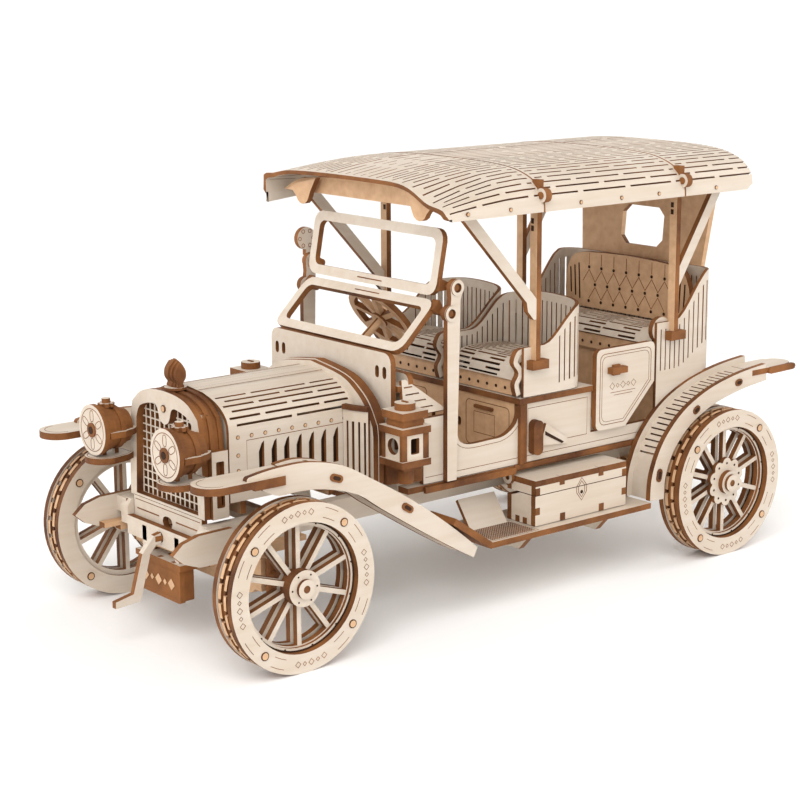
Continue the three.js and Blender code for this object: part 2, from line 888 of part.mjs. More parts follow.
add("radiator_shell", radiatorShell());
add("radiator_grille", radiatorGrille(), SHADED_PLY);
add("radiator_cap", radiatorCap(), DARK_PLY);
add("number_plate", numberPlate(), DARK_PLY);
add("crank_handle", crankHandle(), DARK_PLY);
add("hood", hood());
add("hood_ribs", hoodRibs(), SHADED_PLY);
add("firewall", firewall());
add("cowl", cowl());
addPair("headlamp", headlamp());
addPair("side_lantern", sideLantern(), DARK_PLY);

add("floor_pan", floorPan(), DARK_PLY);
addPair("body_side", bodySide());
add("front_seat_base", frontSeatBase(), DARK_PLY);
addPair("front_seat_tub", tub(2.5, 46, 6, 42, 82.4, 103, 118, PLY, 8));
addPair("front_seat_cushion", cushion(5.4, 43.1, 5, 35, 82.4, 96), SHADED_PLY);
add("rear_seat_base", rearSeatBase(), DARK_PLY);
add("rear_seat_cushion", cushion(-43, 43, 86, 111.5, 86.9, 98), SHADED_PLY);
add("rear_seat_back", rearBackrest(), SHADED_PLY);
add("rear_tub", rearTub());
addPair("rear_door", door());

addPair("front_fender", fender(FRONT_FENDER_TOP, 9));
addPair("rear_fender", fender(REAR_FENDER_TOP, 8));
addPair("running_board", runningBoard(), DARK_PLY);
add("tool_box", toolBox());
add("tool_box_lid", toolBoxLid());

add("windshield_post_left", screenPost());
add("windshield_post_right", screenPostWithMirror());
add("windshield_upper_frame", screenFrame(SCREEN_UPPER_AXIS, -0.19, -4.7, 22, 0));
add("windshield_lower_frame", screenFrame(SCREEN_LOWER_AXIS, -0.8, -24.7, 1.7, 3.6));

add("roof_canopy", roofCanopy());
addPair("mid_roof_post", roofPost(MID_POST_Y, 94, [-33, 166], [11.2, 118.6]));
addPair("rear_roof_post", roofPost(REAR_POST_Y, 96.2, [120.5, 165.5], [93, 122.3]));
add("rear_curtain", rearCurtain(), SHADED_PLY);

add("steering_wheel", steeringWheel(), DARK_PLY);
addPair("steering_knuckle", knuckle(), DARK_PLY);
add("tie_rod", tieRod(), DARK_PLY);

const frontWheelX = WHEEL_OUTER_X - WHEEL_WIDTH / 2;
for (const [name, y] of [
  ["wheel_front", FRONT_AXLE_Y],
  ["wheel_rear", REAR_AXLE_Y],
]) {
  addPair(name, wheel().translate(frontWheelX, y, WHEEL_RADIUS));
}

export default car;
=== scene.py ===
"""The looks of a laser-cut plywood touring car kit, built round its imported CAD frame.
The car's lengths are millimetres, turned into metres where a mesh is made; the camera, the lights
and the stage are in metres."""

import math

import bpy
from mathutils import Matrix, Vector
from mathutils.geometry import tessellate_polygon


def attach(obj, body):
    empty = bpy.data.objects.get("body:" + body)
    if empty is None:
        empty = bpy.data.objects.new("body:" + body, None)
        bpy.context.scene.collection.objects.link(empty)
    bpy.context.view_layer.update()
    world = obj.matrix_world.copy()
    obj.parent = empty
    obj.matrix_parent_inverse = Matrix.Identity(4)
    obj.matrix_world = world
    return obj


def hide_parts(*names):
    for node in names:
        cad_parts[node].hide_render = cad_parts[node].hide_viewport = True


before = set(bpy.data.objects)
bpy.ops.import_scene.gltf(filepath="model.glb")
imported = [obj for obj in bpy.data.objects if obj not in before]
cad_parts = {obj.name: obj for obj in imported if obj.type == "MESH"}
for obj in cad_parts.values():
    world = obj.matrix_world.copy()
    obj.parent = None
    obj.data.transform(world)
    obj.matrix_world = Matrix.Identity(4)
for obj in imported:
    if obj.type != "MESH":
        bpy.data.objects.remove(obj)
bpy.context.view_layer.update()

MM = 0.001
PLY = 2.5  # sheet thickness
SKIN = 0.06  # how far a scorched line stands on the face it is drawn on
ROOT = "car_body"
BODY_X = 46  # outer face of the body sides


# ---------- camera, light and floor ----------
CAMERA_AT = Vector((0.61624, -0.51986, 0.25447))
CAMERA_AIM = Vector((0, -0.0205, 0.07719))
LENS = 87.1
CAMERA_ROLL = math.radians(0.305)


def make_camera():
    data = bpy.data.cameras.new("camera")
    data.lens = LENS
    data.sensor_width = 36
    camera = bpy.data.objects.new("camera", data)
    bpy.context.scene.collection.objects.link(camera)
    camera.location = CAMERA_AT
    turn = (CAMERA_AIM - CAMERA_AT).to_track_quat("-Z", "Y")
    camera.rotation_mode = "QUATERNION"
    camera.rotation_quaternion = turn @ Matrix.Rotation(-CAMERA_ROLL, 4, "Z").to_quaternion()
    data.clip_start, data.clip_end = 0.01, 20
    bpy.context.scene.camera = camera


def make_light(name, place, size, power, color=(1, 1, 1)):
    data = bpy.data.lights.new(name, "AREA")
    data.shape = "DISK"
    data.size = size
    data.energy = power
    data.color = color
    lamp = bpy.data.objects.new(name, data)
    bpy.context.scene.collection.objects.link(lamp)
    lamp.location = place
    lamp.rotation_mode = "QUATERNION"
    lamp.rotation_quaternion = (Vector((0, 0, 0.07)) - lamp.location).to_track_quat("-Z", "Y")


def plain_material(name, color, glow=0.0):
    material = bpy.data.materials.new(name)
    material.use_nodes = True
    shader = material.node_tree.nodes["Principled BSDF"]
    shader.inputs["Base Color"].default_value = (*color, 1)
    shader.inputs["Roughness"].default_value = 0.9
    shader.inputs["Specular IOR Level"].default_value = 0.1
    shader.inputs["Emission Color"].default_value = (1, 1, 1, 1)
    shader.inputs["Emission Strength"].default_value = glow
    return material


def make_sheet(name, corners, faces, material):
    mesh = bpy.data.meshes.new(name)
    mesh.from_pydata(corners, [], faces)
    sheet = bpy.data.objects.new(name, mesh)
    bpy.context.scene.collection.objects.link(sheet)
    mesh.materials.append(material)


def make_stage():
    bpy.context.scene.view_settings.view_transform = "Standard"
    world = bpy.data.worlds.new("world")
    bpy.context.scene.world = world
    world.use_nodes = True
    background = world.node_tree.nodes["Background"]
    background.inputs["Color"].default_value = (1, 0.945, 0.88, 1)
    background.inputs["Strength"].default_value = 0.4
    half = 3.2
    corners = [(-half, -half, 0), (half, -half, 0), (half, half, 0), (-half, half, 0)]
    make_sheet("floor", corners, [(0, 1, 2, 3)], plain_material("floor", (0.95, 0.95, 0.95)))
    radius, sides, foot, top = 2.6, 32, -0.3, 1.9
    turns = [math.tau * k / sides for k in range(sides)]
    corners = [(radius * math.cos(t), radius * math.sin(t), z) for z in (foot, top) for t in turns]
    faces = [(k, (k + 1) % sides, sides + (k + 1) % sides, sides + k) for k in range(sides)]
    make_sheet("backdrop", corners, faces, plain_material("backdrop", (0.6, 0.6, 0.6), 0.86))
    make_light("key", Vector((0.95, -0.95, 1.5)), 1.5, 23, (1, 0.985, 0.965))
    make_light("fill", Vector((-1.2, -0.9, 0.9)), 1.2, 4)
    make_light("back", Vector((0.3, 1.4, 1.3)), 1.0, 7)


# ---------- materials ----------
def wood(name, light, dark, roughness, grain_scale, bump=0.04, stretch=(14, 1, 14)):
    """Plywood whose grain runs along Y: fine streaks, a slow drift of tone and a slight relief."""
    material = bpy.data.materials.new(name)
    material.use_nodes = True
    nodes, links = material.node_tree.nodes, material.node_tree.links
    shader = nodes["Principled BSDF"]

    def add(kind, **values):
        node = nodes.new("ShaderNode" + kind)
        for socket, value in values.items():
            node.inputs[socket].default_value = value
        return node

    place = add("TexCoord")
    scale = add("Mapping", Scale=[s * grain_scale for s in stretch])
    links.new(place.outputs["Object"], scale.inputs["Vector"])
    grain = add("TexNoise", Scale=18, Detail=6, Roughness=0.62)
    links.new(scale.outputs["Vector"], grain.inputs["Vector"])
    drift = add("TexNoise", Scale=22)
    links.new(place.outputs["Object"], drift.inputs["Vector"])
    both = add("Math")
    both.operation = "MULTIPLY_ADD"
    both.inputs[1].default_value = 0.6
    links.new(grain.outputs["Fac"], both.inputs[0])
    soft = add("Math")
    soft.operation = "MULTIPLY"
    soft.inputs[1].default_value = 0.4
    links.new(drift.outputs["Fac"], soft.inputs[0])
    links.new(soft.outputs["Value"], both.inputs[2])
    ramp = add("ValToRGB")
    for stop, position, color in zip(ramp.color_ramp.elements, (0.36, 0.62), (dark, light)):
        stop.position = position
        stop.color = (*color, 1)
    links.new(both.outputs["Value"], ramp.inputs["Fac"])
    links.new(ramp.outputs["Color"], shader.inputs["Base Color"])
    relief = add("Bump", Strength=bump, Distance=0.0004)
    links.new(grain.outputs["Fac"], relief.inputs["Height"])
    links.new(relief.outputs["Normal"], shader.inputs["Normal"])
    shader.inputs["Roughness"].default_value = roughness
    shader.inputs["Specular IOR Level"].default_value = 0.25
    return material


PALETTE = [
    wood("birch_face", (0.615, 0.54, 0.455), (0.56, 0.465, 0.37), 0.55, 1.0),
    wood("scorched_edge", (0.27, 0.105, 0.03), (0.07, 0.022, 0.007), 0.7, 3.0, 0.12, (1, 1, 1)),
    # Scorched lines, and the dark sheets that stand as painted deep shade inside hollows.
    wood("scorched_line_and_deep_shade", (0.045, 0.018, 0.007), (0.02, 0.008, 0.003), 0.8, 3.0, 0.05, (1, 1, 1)),
    # A browner face: painted shade on faces that sit in shade, and the tan of peg ends, tread notches and
    # plate lozenges.
    wood("tan_face_and_painted_shade", (0.64, 0.41, 0.24), (0.50, 0.30, 0.165), 0.6, 1.0),
]
FACE, EDGE, CHAR_AND_DEEP_SHADE, TAN_AND_SHADE = range(4)  # places in the palette


# ---------- CAD nodes that are shown as they are ----------
def region_width(points, normal):
    """Least width, in the plane of the region, over a fan of directions."""
    side = normal.orthogonal().normalized()
    up = normal.cross(side)
    flat = [(p.dot(side), p.dot(up)) for p in points]
    directions = 12
    widths = []
    for k in range(directions):
        turn = math.pi * k / directions
        c, s = math.cos(turn), math.sin(turn)
        along = [c * u + s * v for u, v in flat]
        widths.append(max(along) - min(along))
    return min(widths)


def scorch_edges(node, wide_slot, widest=3.4):
    """Scorches the flat regions of a CAD node that are no wider than a sheet is thick."""
    mesh = node.data
    mesh.materials.clear()
    for material in PALETTE:
        mesh.materials.append(material)
    by_edge = {}
    for polygon in mesh.polygons:
        keys = [tuple(round(c * 1e5) for c in mesh.vertices[v].co) for v in polygon.vertices]
        for a, b in zip(keys, keys[1:] + keys[:1]):
            by_edge.setdefault((min(a, b), max(a, b)), []).append(polygon.index)
    near = {polygon.index: set() for polygon in mesh.polygons}
    for sharing in by_edge.values():
        for a in sharing:
            near[a].update(sharing)
    seen = set()
    for start in near:
        if start in seen:
            continue
        normal = mesh.polygons[start].normal
        region, queue = [], [start]
        seen.add(start)
        while queue:
            index = queue.pop()
            region.append(index)
            for other in near[index] - seen:
                if mesh.polygons[other].normal.dot(normal) > 0.999:
                    seen.add(other)
                    queue.append(other)
        points = [mesh.vertices[v].co for i in region for v in mesh.polygons[i].vertices]
        narrow = region_width(points, normal) <= widest * MM
        for i in region:
            mesh.polygons[i].material_index = EDGE if narrow else wide_slot


# ---------- flat cut sheets ----------
LAY = {
    "x": lambda u, v, depth: (depth, u, v),
    "y": lambda u, v, depth: (u, depth, v),
    "z": lambda u, v, depth: (u, v, depth),
}


def arc(radius, start, end, steps, u=0.0, v=0.0):
    """Points on an arc, angles in degrees."""
    turns = [math.radians(start + (end - start) * k / steps) for k in range(steps + 1)]
    return [(u + radius * math.cos(t), v + radius * math.sin(t)) for t in turns]


def polar(radius, angle, u=0.0, v=0.0):
    """One point of the circle about (u, v), at an angle in degrees."""
    return arc(radius, angle, angle + 1, 1, u, v)[0]


def circle(radius, steps=32, u=0.0, v=0.0, start=0.0):
    return arc(radius, start, start + 360, steps, u, v)[:-1]


def rect(u0, u1, v0, v1):
    return [(u0, v0), (u1, v0), (u1, v1), (u0, v1)]


def diamond(u, v, size):
    return [(u + size, v), (u, v + size), (u - size, v), (u, v - size)]


def both_halves(half):
    """An outline from its right half, which ends on the middle line."""
    return half + [(-u, v) for u, v in half[-2::-1]]


def rounded(u0, u1, v0, v1, radius, steps=4):
    return (
        arc(radius, -90, 0, steps, u1 - radius, v0 + radius)
        + arc(radius, 0, 90, steps, u1 - radius, v1 - radius)
        + arc(radius, 90, 180, steps, u0 + radius, v1 - radius)
        + arc(radius, 180, 270, steps, u0 + radius, v0 + radius)
    )


def capsule(u, v, length, width, angle=0.0, steps=4):
    """A slot with round ends about (u, v), its long way turned by an angle in degrees."""
    r, half = width / 2, length / 2 - width / 2
    points = arc(r, -90, 90, steps, half) + arc(r, 90, 270, steps, -half)
    c, s = math.cos(math.radians(angle)), math.sin(math.radians(angle))
    return [(u + c * a - s * b, v + s * a + c * b) for a, b in points]


def doubled_area(loop):
    return sum(a[0] * b[1] - b[0] * a[1] for a, b in zip(loop, loop[1:] + loop[:1]))


def turned(loop, anticlockwise=True):
    return loop if (doubled_area(loop) > 0) == anticlockwise else loop[::-1]


def shifted(line, distance):
    """The line moved square to itself, to its left where distance is positive."""
    moved = []
    for i, (u, v) in enumerate(line):
        before, after = line[max(i - 1, 0)], line[min(i + 1, len(line) - 1)]
        du, dv = after[0] - before[0], after[1] - before[1]
        size = math.hypot(du, dv) or 1
        moved.append((u - dv / size * distance, v + du / size * distance))
    return moved


def smooth(points, steps=4):
    """A rounded line through the points (Catmull-Rom)."""
    line = []
    for i in range(len(points) - 1):
        p0, p1 = points[max(i - 1, 0)], points[i]
        p2, p3 = points[i + 1], points[min(i + 2, len(points) - 1)]
        for k in range(steps):
            t = k / steps
            line.append(tuple(
                0.5 * (2 * b + (c - a) * t + (2 * a - 5 * b + 4 * c - d) * t * t
                       + (3 * b - a - 3 * c + d) * t ** 3)
                for a, b, c, d in zip(p0, p1, p2, p3)
            ))
    return line + [tuple(points[-1])]


class Sheet:
    """Cut and bent sheets gathered into one mesh: pale faces, scorched cut edges, scorched lines."""

    def __init__(self):
        self.points, self.faces, self.slots = [], [], []

    def add(self, points, faces, slots):
        start = len(self.points)
        self.points += [Vector(p) for p in points]
        self.faces += [[start + i for i in face] for face in faces]
        self.slots += slots

    def plate(self, outline, plane, a, b, holes=(), face=FACE, edge=None):
        """A flat plate from depth a to depth b along the plane's normal."""
        if edge is None:
            edge = CHAR_AND_DEEP_SHADE if face == CHAR_AND_DEEP_SHADE else EDGE
        a, b = min(a, b), max(a, b)
        loops = [turned(outline)] + [turned(hole, False) for hole in holes]
        flat = [p for loop in loops for p in loop]
        count = len(flat)
        lay = LAY[plane]
        points = [lay(u, v, a) for u, v in flat] + [lay(u, v, b) for u, v in flat]
        faces, slots = [], []
        for i, j, k in tessellate_polygon([[Vector((u, v, 0)) for u, v in loop] for loop in loops]):
            (x0, y0), (x1, y1), (x2, y2) = flat[i], flat[j], flat[k]
            if (x1 - x0) * (y2 - y0) - (x2 - x0) * (y1 - y0) < 0:
                j, k = k, j
            faces += [[i + count, j + count, k + count], [i, k, j]]
            slots += [face, face]
        start = 0
        for loop in loops:
            for i in range(len(loop)):
                p, q = start + i, start + (i + 1) % len(loop)
                faces.append([p, q, q + count, p + count])
                slots.append(edge)
            start += len(loop)
        if plane == "y":
            faces = [f[::-1] for f in faces]
        self.add(points, faces, slots)
        return self

    def box(self, x0, x1, y0, y1, z0, z1, plane="z", face=FACE):
        if plane == "x":
            return self.plate(rect(y0, y1, z0, z1), "x", x0, x1, (), face)
        if plane == "y":
            return self.plate(rect(x0, x1, z0, z1), "y", y0, y1, (), face)
        return self.plate(rect(x0, x1, y0, y1), "z", z0, z1, (), face)

    def line(self, path, plane, level, out=1, width=0.35, closed=False):
        """A scorched line drawn on a face; out is +1 or -1, the way the face looks."""
        a, b = level - 0.02 * out, level + SKIN * out
        if closed:
            ring = list(path) + list(path[:2])
            outer = shifted(ring, width / 2)[1:-1]
            inner = shifted(ring, -width / 2)[1:-1]
            if abs(doubled_area(outer)) < abs(doubled_area(inner)):
                outer, inner = inner, outer
            return self.plate(outer, plane, a, b, [inner], EDGE)
        outline = shifted(path, width / 2) + shifted(path, -width / 2)[::-1]
        return self.plate(outline, plane, a, b, (), EDGE)

    def peg(self, u, v, plane, level, out=1, radius=1.2, height=0.5, sides=8, ring=True):
        """The end of a peg: a scorched ring round a pale or dark middle, standing on a face."""
        top = level + height * out
        outer, inner = (circle(r, sides, u, v, 22.5) for r in (radius, radius * 0.78))
        self.plate(outer, plane, level - 0.3 * out, top, (), CHAR_AND_DEEP_SHADE, EDGE)
        if ring:
            self.plate(inner, plane, top - 0.1 * out, top + 0.08 * out, (), TAN_AND_SHADE, CHAR_AND_DEEP_SHADE)
        return self

    def bent(self, profile, place, stations, thickness, is_open=None, face=FACE):
        """A sheet bent along a profile and cut through where is_open(row, column) says so."""
        inner = shifted(profile, -thickness)
        rows, columns = len(profile) - 1, len(stations) - 1
        width = columns + 1
        points = [place(u, v, w) for line in (profile, inner) for u, v in line for w in stations]
        below = (rows + 1) * width
        solid = [[not (is_open and is_open(i, j)) for j in range(columns)] for i in range(rows)]
        faces, slots = [], []
        for i in range(rows):
            for j in range(columns):
                if not solid[i][j]:
                    continue
                a, b = i * width + j, (i + 1) * width + j
                corners = [a, b, b + 1, a + 1]
                faces += [corners, [c + below for c in corners[::-1]]]
                slots += [face, face]
                beside = [(i, j - 1), (i + 1, j), (i, j + 1), (i - 1, j)]
                for k, (m, n) in enumerate(beside):
                    inside = 0 <= m < rows and 0 <= n < columns
                    if inside and solid[m][n]:
                        continue
                    p, q = corners[k], corners[(k + 1) % 4]
                    faces.append([q, p, p + below, q + below])
                    slots.append(EDGE)
        o = [Vector(points[c]) for c in (0, width, 1, below)]
        if (o[1] - o[0]).cross(o[2] - o[0]).dot(o[3] - o[0]) > 0:
            faces = [f[::-1] for f in faces]
        used = sorted({c for f in faces for c in f})
        new = {c: i for i, c in enumerate(used)}
        self.add([points[c] for c in used], [[new[c] for c in f] for f in faces], slots)
        return self

    def move(self, matrix):
        self.points = [matrix @ point for point in self.points]
        return self

    def mirrored(self):
        other = Sheet()
        other.points = [Vector((-p.x, p.y, p.z)) for p in self.points]
        other.faces = [f[::-1] for f in self.faces]
        other.slots = list(self.slots)
        return other

    def piece(self, name, node=None, body=ROOT, smooth_faces=False):
        """Makes the mesh a piece on a body, in place of a CAD node if one is given."""
        mesh = bpy.data.meshes.new(name)
        mesh.from_pydata([p * MM for p in self.points], [], self.faces)
        for material in PALETTE:
            mesh.materials.append(material)
        mesh.polygons.foreach_set("material_index", self.slots)
        if smooth_faces:
            mesh.shade_smooth()
            mesh.set_sharp_from_angle(angle=math.radians(30))
        mesh.update()
        piece = bpy.data.objects.new(name, mesh)
        bpy.context.scene.collection.objects.link(piece)
        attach(piece, body)
        if node:
            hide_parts(node)

    def pair(self, name, node=None, body=None):
        """The same piece on both sides, on the root body or on a body of each side."""
        for side, sheet in (("left", self), ("right", self.mirrored())):
            sheet.piece(f"{name}_{side}", f"{node}_{side}" if node else None,
                        f"{body}_{side}" if body else ROOT)


# ---------- roof ----------
ROOF_Y = (-46, 128)
SEAMS_Y = (4, 85)
POST_X = 50.5


def line_length(line):
    return sum(math.dist(p, q) for p, q in zip(line, line[1:]))


def resampled(line, stations):
    """Points of the line at those distances along it."""
    lengths = [0]
    for p, q in zip(line, line[1:]):
        lengths.append(lengths[-1] + math.dist(p, q))
    points, i = [], 0
    for s in stations:
        while i < len(lengths) - 2 and lengths[i + 1] < s:
            i += 1
        t = min(max((s - lengths[i]) / (lengths[i + 1] - lengths[i]), 0), 1)
        points.append(tuple(a + (b - a) * t for a, b in zip(line[i], line[i + 1])))
    return points


def slits(count, first, gap, pitch):
    """Where each slit across a sheet starts and ends."""
    return [first + pitch * k + d for k in range(count) for d in (0, gap)]


def staggered(stations, start, period, bridge, rows, clear):
    """Cuts every second row into long slits, those of each next row moved half a period."""
    def is_open(row, j):
        y = (stations[j] + stations[j + 1]) / 2
        if row % 2 == 0 or row not in rows or not clear(y):
            return False
        return (y - start - (period / 2 if (row // 2) % 2 else 0)) % period > bridge

    return is_open


def roof_half():
    """Half of the canopy's section, from the crown out and down to the flap's foot."""
    return smooth([(0, 177.6), (16, 177.5), (29, 177.1), (40, 176.2), (47, 174.8), (53, 172.6),
                   (57.5, 169.4), (60, 165.8), (60.9, 162.8), (61, 160)], 6)


def front_shape(x, y, z):
    """In front of the first bow the sheet sinks along its left shoulder and squares up on the right."""
    ahead = max(0, (-4 - y) / 42) ** 1.6
    sag = 4.6 * max(0, 1 - (abs(x) / 66) ** 4) + 5.2 * math.exp(-((x - 50) / 11) ** 2)
    lift = 4.2 * min(1, max(0, (-52 - x) / 8)) ** 1.5
    flap = 3 * max(0, 1 - (z - 160) / 5) if x < -55 else 0
    return z + ahead * ((lift - sag) * min(1, (z - 160) / 5) - flap)


def build_roof():
    pitch, slit, rows = 3.15, 0.75, 20
    length = line_length(roof_half())
    cuts = slits(rows, pitch - slit, slit, pitch)
    half = resampled(roof_half(), [0, *cuts, length - 2.5, length])
    profile = both_halves(half[::-1])[::-1]
    middle = len(half) - 1
    period, bridge = 27, 3
    front, rear = ROOF_Y
    beside = [y + d for y in SEAMS_Y for d in (-2, 0, 2)]
    stations = sorted({front, rear, *beside, *slits(18, front + 2, bridge, period / 2)})
    stations = [y for y in stations if y <= rear]

    def clear(y):
        return front + 2 <= y <= rear - 3 and all(abs(y - seam) >= 2 for seam in SEAMS_Y)

    pattern = staggered(stations, front + 2, period, bridge, range(11, 2 * rows + 1), clear)

    def place(u, v, w):
        corner = 4 * max(0, 1 - (v - 160) / 4) ** 2 if abs(u) > 55 else 0
        w += corner * (w < front + 1) - corner * (w > rear - 1)
        return (u, w, front_shape(u, w, v))

    roof = Sheet().bent(profile, place, stations, 1.6,
                        lambda i, j: pattern(i - middle if i >= middle else middle - 1 - i, j))
    for y in SEAMS_Y:
        raised = shifted(profile, 0.12)
        roof.bent(raised, place, [y - 0.35, y + 0.35], 0.3, None, EDGE)
    for side in (-1, 1):
        for y in (-36, -14, 24, 47, 69, 104):
            roof.peg(y, 162.3, "x", 60.95 * side, side, 0.9, 0.25)
        for y in SEAMS_Y:
            roof.plate(circle(2.9, 16, 60.6 * side, 166.6), "y", y - 1.6, y + 1.6)
            roof.plate(circle(1.5, 12, 60.6 * side, 166.6), "y", y - 2.1, y + 2.1, (), EDGE)
            roof.box(*sorted((55 * side, 59 * side)), y - 1.2, y + 1.2, 168.5, 172.6, "y", EDGE)
    crown = 177.62
    for k in range(-3, 4):
        x = 5 * k
        for y0, y1 in ((-44, 1), (5, 83), (87, 126)):
            middle = (y0 + y1) / 2 + (6 if k % 2 else -6)
            for a, b in ((y0, middle - 2), (middle + 2, y1)):
                stroke = [(x - 0.3, crown), (x + 0.3, crown)]
                roof.bent(stroke, place, [a, (a + b) / 2, b], 0.1, None, EDGE)
    roof.piece("roof_sheet", "roof_canopy", smooth_faces=True)

    bows = Sheet()
    under = [(u, v - 1.7) for u, v in smooth([(-57.5, 168.6), (-47, 173.4), (-29, 175.6), (0, 176),
                                              (29, 175.6), (47, 173.4), (57.5, 168.6)], 4)]
    for y in (6.2, 88, 121):
        foot = [(55, 165), (42, 169), (-42, 169), (-55, 165)]
        bows.plate(under + foot, "y", y, y + PLY)
    lowered = [(u, v - 4.4) for u, v in under]
    # The lowered front bow plate and the flaps take the browner wood: painted shade under the roof's front
    # edge.
    bows.plate(lowered + [(44, 162.6), (-44, 162.6)], "y", -37, -34.6, (), TAN_AND_SHADE)
    flap = [(29, 169.4), (33, 163.4)] + arc(4.6, 200, 340, 6, 38.4, 162.6)
    flap += [(45, 163.2), (49, 163.4), (43, 166.4)]
    for sign in (-1, 1):
        bows.plate([(sign * u, v) for u, v in flap], "y", -41.5, -39, (), TAN_AND_SHADE)
    bows.piece("roof_bows")


def roof_post(y, foot, brace):
    """A post on its bracket, with its two marks and its slanting brace."""
    inner_x, top = POST_X - 4.1, 165.5
    post = Sheet()
    # The post's faces take the browner wood: painted shade, the posts standing under the roof.
    post.box(inner_x, POST_X, y, y + PLY, foot, top, "y", TAN_AND_SHADE)
    post.box(inner_x, POST_X + 1, y - 2.5, y + 6.5, foot, foot + 3.8, "z", EDGE)
    for z in (150.6, 153.6):
        post.box(POST_X - 3.6, POST_X - 2, y - 0.1, y, z, z + 2.2, "y", CHAR_AND_DEEP_SHADE)
    post.plate(brace, "x", POST_X - PLY, POST_X)
    return post


def build_posts():
    mid_brace = [(-34.7, 164.4), (4.6, 122.3), (5.4, 118.4), (8.6, 114.8), (9.98, 114.8), (9.98, 123.3),
                 (-31.3, 167.6)]
    roof_post(10, 94, mid_brace).pair("mid_roof_post_sheets", "mid_roof_post")
    rear_brace = [(94.02, 128.2), (118.6, 166.7), (122.4, 164.3), (94.02, 119.6)]
    roof_post(91.5, 96.2, rear_brace).pair("rear_roof_post_sheets", "rear_roof_post")


# ---------- wheels ----------
WHEEL_RADIUS = 32.5
WHEEL_X = 62
AXLE_Y = {"front": -121, "rear": 111}
SPOKES = 10


def notched(radius, depth, teeth, gap, phase=0.0):
    """A tread ring: a circle with square notches."""
    loop = []
    for k in range(teeth):
        centre = phase + 360 * k / teeth
        loop += arc(radius, centre + gap / 2, centre + 360 / teeth - gap / 2, 3)
        loop += arc(radius - depth, centre + 360 / teeth - gap / 2, centre + 360 / teeth + gap / 2, 1)
    return loop


def spoke_star(wheel, x0, x1, rim, opening, hub, width, phase=0.0):
    """A ring with spokes: one window between each two spokes."""
    windows = []
    pitch = 360 / SPOKES
    for k in range(SPOKES):
        mid = 90 + phase + pitch * (k + 0.5)
        outer = pitch / 2 - math.degrees(width / 2 / opening)
        inner = pitch / 2 - math.degrees(width / 2 / hub)
        windows.append(arc(opening, mid - outer, mid + outer, 5) + arc(hub, mid + inner, mid - inner, 2))
    wheel.plate(circle(rim, 60), "x", x0, x1, windows)


def ornament(wheel, angle, level):
    """A short row of lozenges between fine arcs."""
    for k in range(-2, 3):
        size = 1.2 if k % 2 == 0 else 0.8
        wheel.line(diamond(*polar(28.9, angle + 6 * k), size), "x", level, 1, 0.28, True)
    for radius in (27.0, 30.8):
        for start in (angle + 24, angle - 36):
            wheel.line(arc(radius, start, start + 12, 5), "x", level, 1, 0.22)


def wheel_sheet(scalloped):
    """The layers of a wheel from its outer rim to its inner rim, its axle along X."""
    wheel = Sheet()
    rim, rim_hole, hole = circle(WHEEL_RADIUS, 72), [circle(24.9, 60)], [circle(25, 60)]
    tread = circle(31.6, 72)
    wheel.plate(rim, "x", 3.5, 6, rim_hole)
    # A dark core through the tyre layers: painted shade inside the tyre, seen in the notches and through the
    # spokes.
    wheel.plate(circle(30.9, 72), "x", -3.5, 3.5, [circle(24.2, 60)], CHAR_AND_DEEP_SHADE)
    wheel.plate(circle(31.8, 72), "x", 2.4, 3.5, hole)
    wheel.plate(notched(32.3, 1.8, 27, 3.4), "x", 0.9, 2.4, hole, EDGE, TAN_AND_SHADE)
    wheel.plate(tread, "x", -0.9, 0.9, hole, EDGE)
    wheel.plate(notched(32.3, 1.8, 27, 3.4, 6.6), "x", -2.6, -0.9, hole, EDGE, TAN_AND_SHADE)
    wheel.plate(tread, "x", -3.5, -2.6, hole, EDGE)
    wheel.plate(rim, "x", -6, -3.5, rim_hole)
    wheel.plate(circle(25.6, 60), "x", 1.3, 3.3, [circle(23.3, 60)])
    spoke_star(wheel, -0.3, 2.1, 25.5, 22.8, 6.6, 1.95)
    spoke_star(wheel, -4.9, -2.3, 25.5, 22.8, 6.6, 1.95)
    for k in range(12):
        wheel.peg(*polar(24.1, 30 * k + 12), "x", 3.3, 1, 0.5, 0.1, 6, False)
    if scalloped:
        lobes = []
        for k in range(SPOKES):
            middle = 90 + 36 * k
            lobes += arc(2.7, middle - 75, middle + 75, 5, *polar(8.2, middle))
        wheel.plate(lobes, "x", 2.1, 3.9)
        for k in range(SPOKES):
            wheel.peg(*polar(8.4, 90 + 36 * k), "x", 3.9, 1, 0.55, 0.12, 6, False)
        wheel.plate(circle(5.2, 28), "x", 3.9, 6.2)
    else:
        wheel.plate(circle(7, 32), "x", 2.1, 6.1)
        for k in range(6):
            wheel.peg(*polar(5.6, 60 * k), "x", 6.1, 1, 0.4, 0.1, 6, False)
    wheel.plate(circle(3.7, 20), "x", 6, 7.5, [circle(1.5, 12)])
    wheel.plate(circle(1.6, 12), "x", 5, 7.3, (), EDGE)
    wheel.plate(circle(4.2, 20), "x", -7, 1.0, [circle(2.7, 16)])
    for angle in (50, 140, 230, 320):
        u, v = polar(28.6, angle)
        wheel.peg(u, v, "x", 6, 1, 1.75, 0.3, 10)
        ornament(wheel, angle + 45, 6)
        wheel.peg(u, v, "x", -6, -1, 1.75, 0.3, 10)
    return wheel


def build_wheels():
    for end, y in AXLE_Y.items():
        wheel = wheel_sheet(end == "rear")
        wheel.move(Matrix.Translation((WHEEL_X, y, WHEEL_RADIUS)))
        for side, sheet in (("left", wheel), ("right", wheel.mirrored())):
            name = f"wheel_{end}_{side}"
            sheet.piece(f"{name}_layers", name, name)


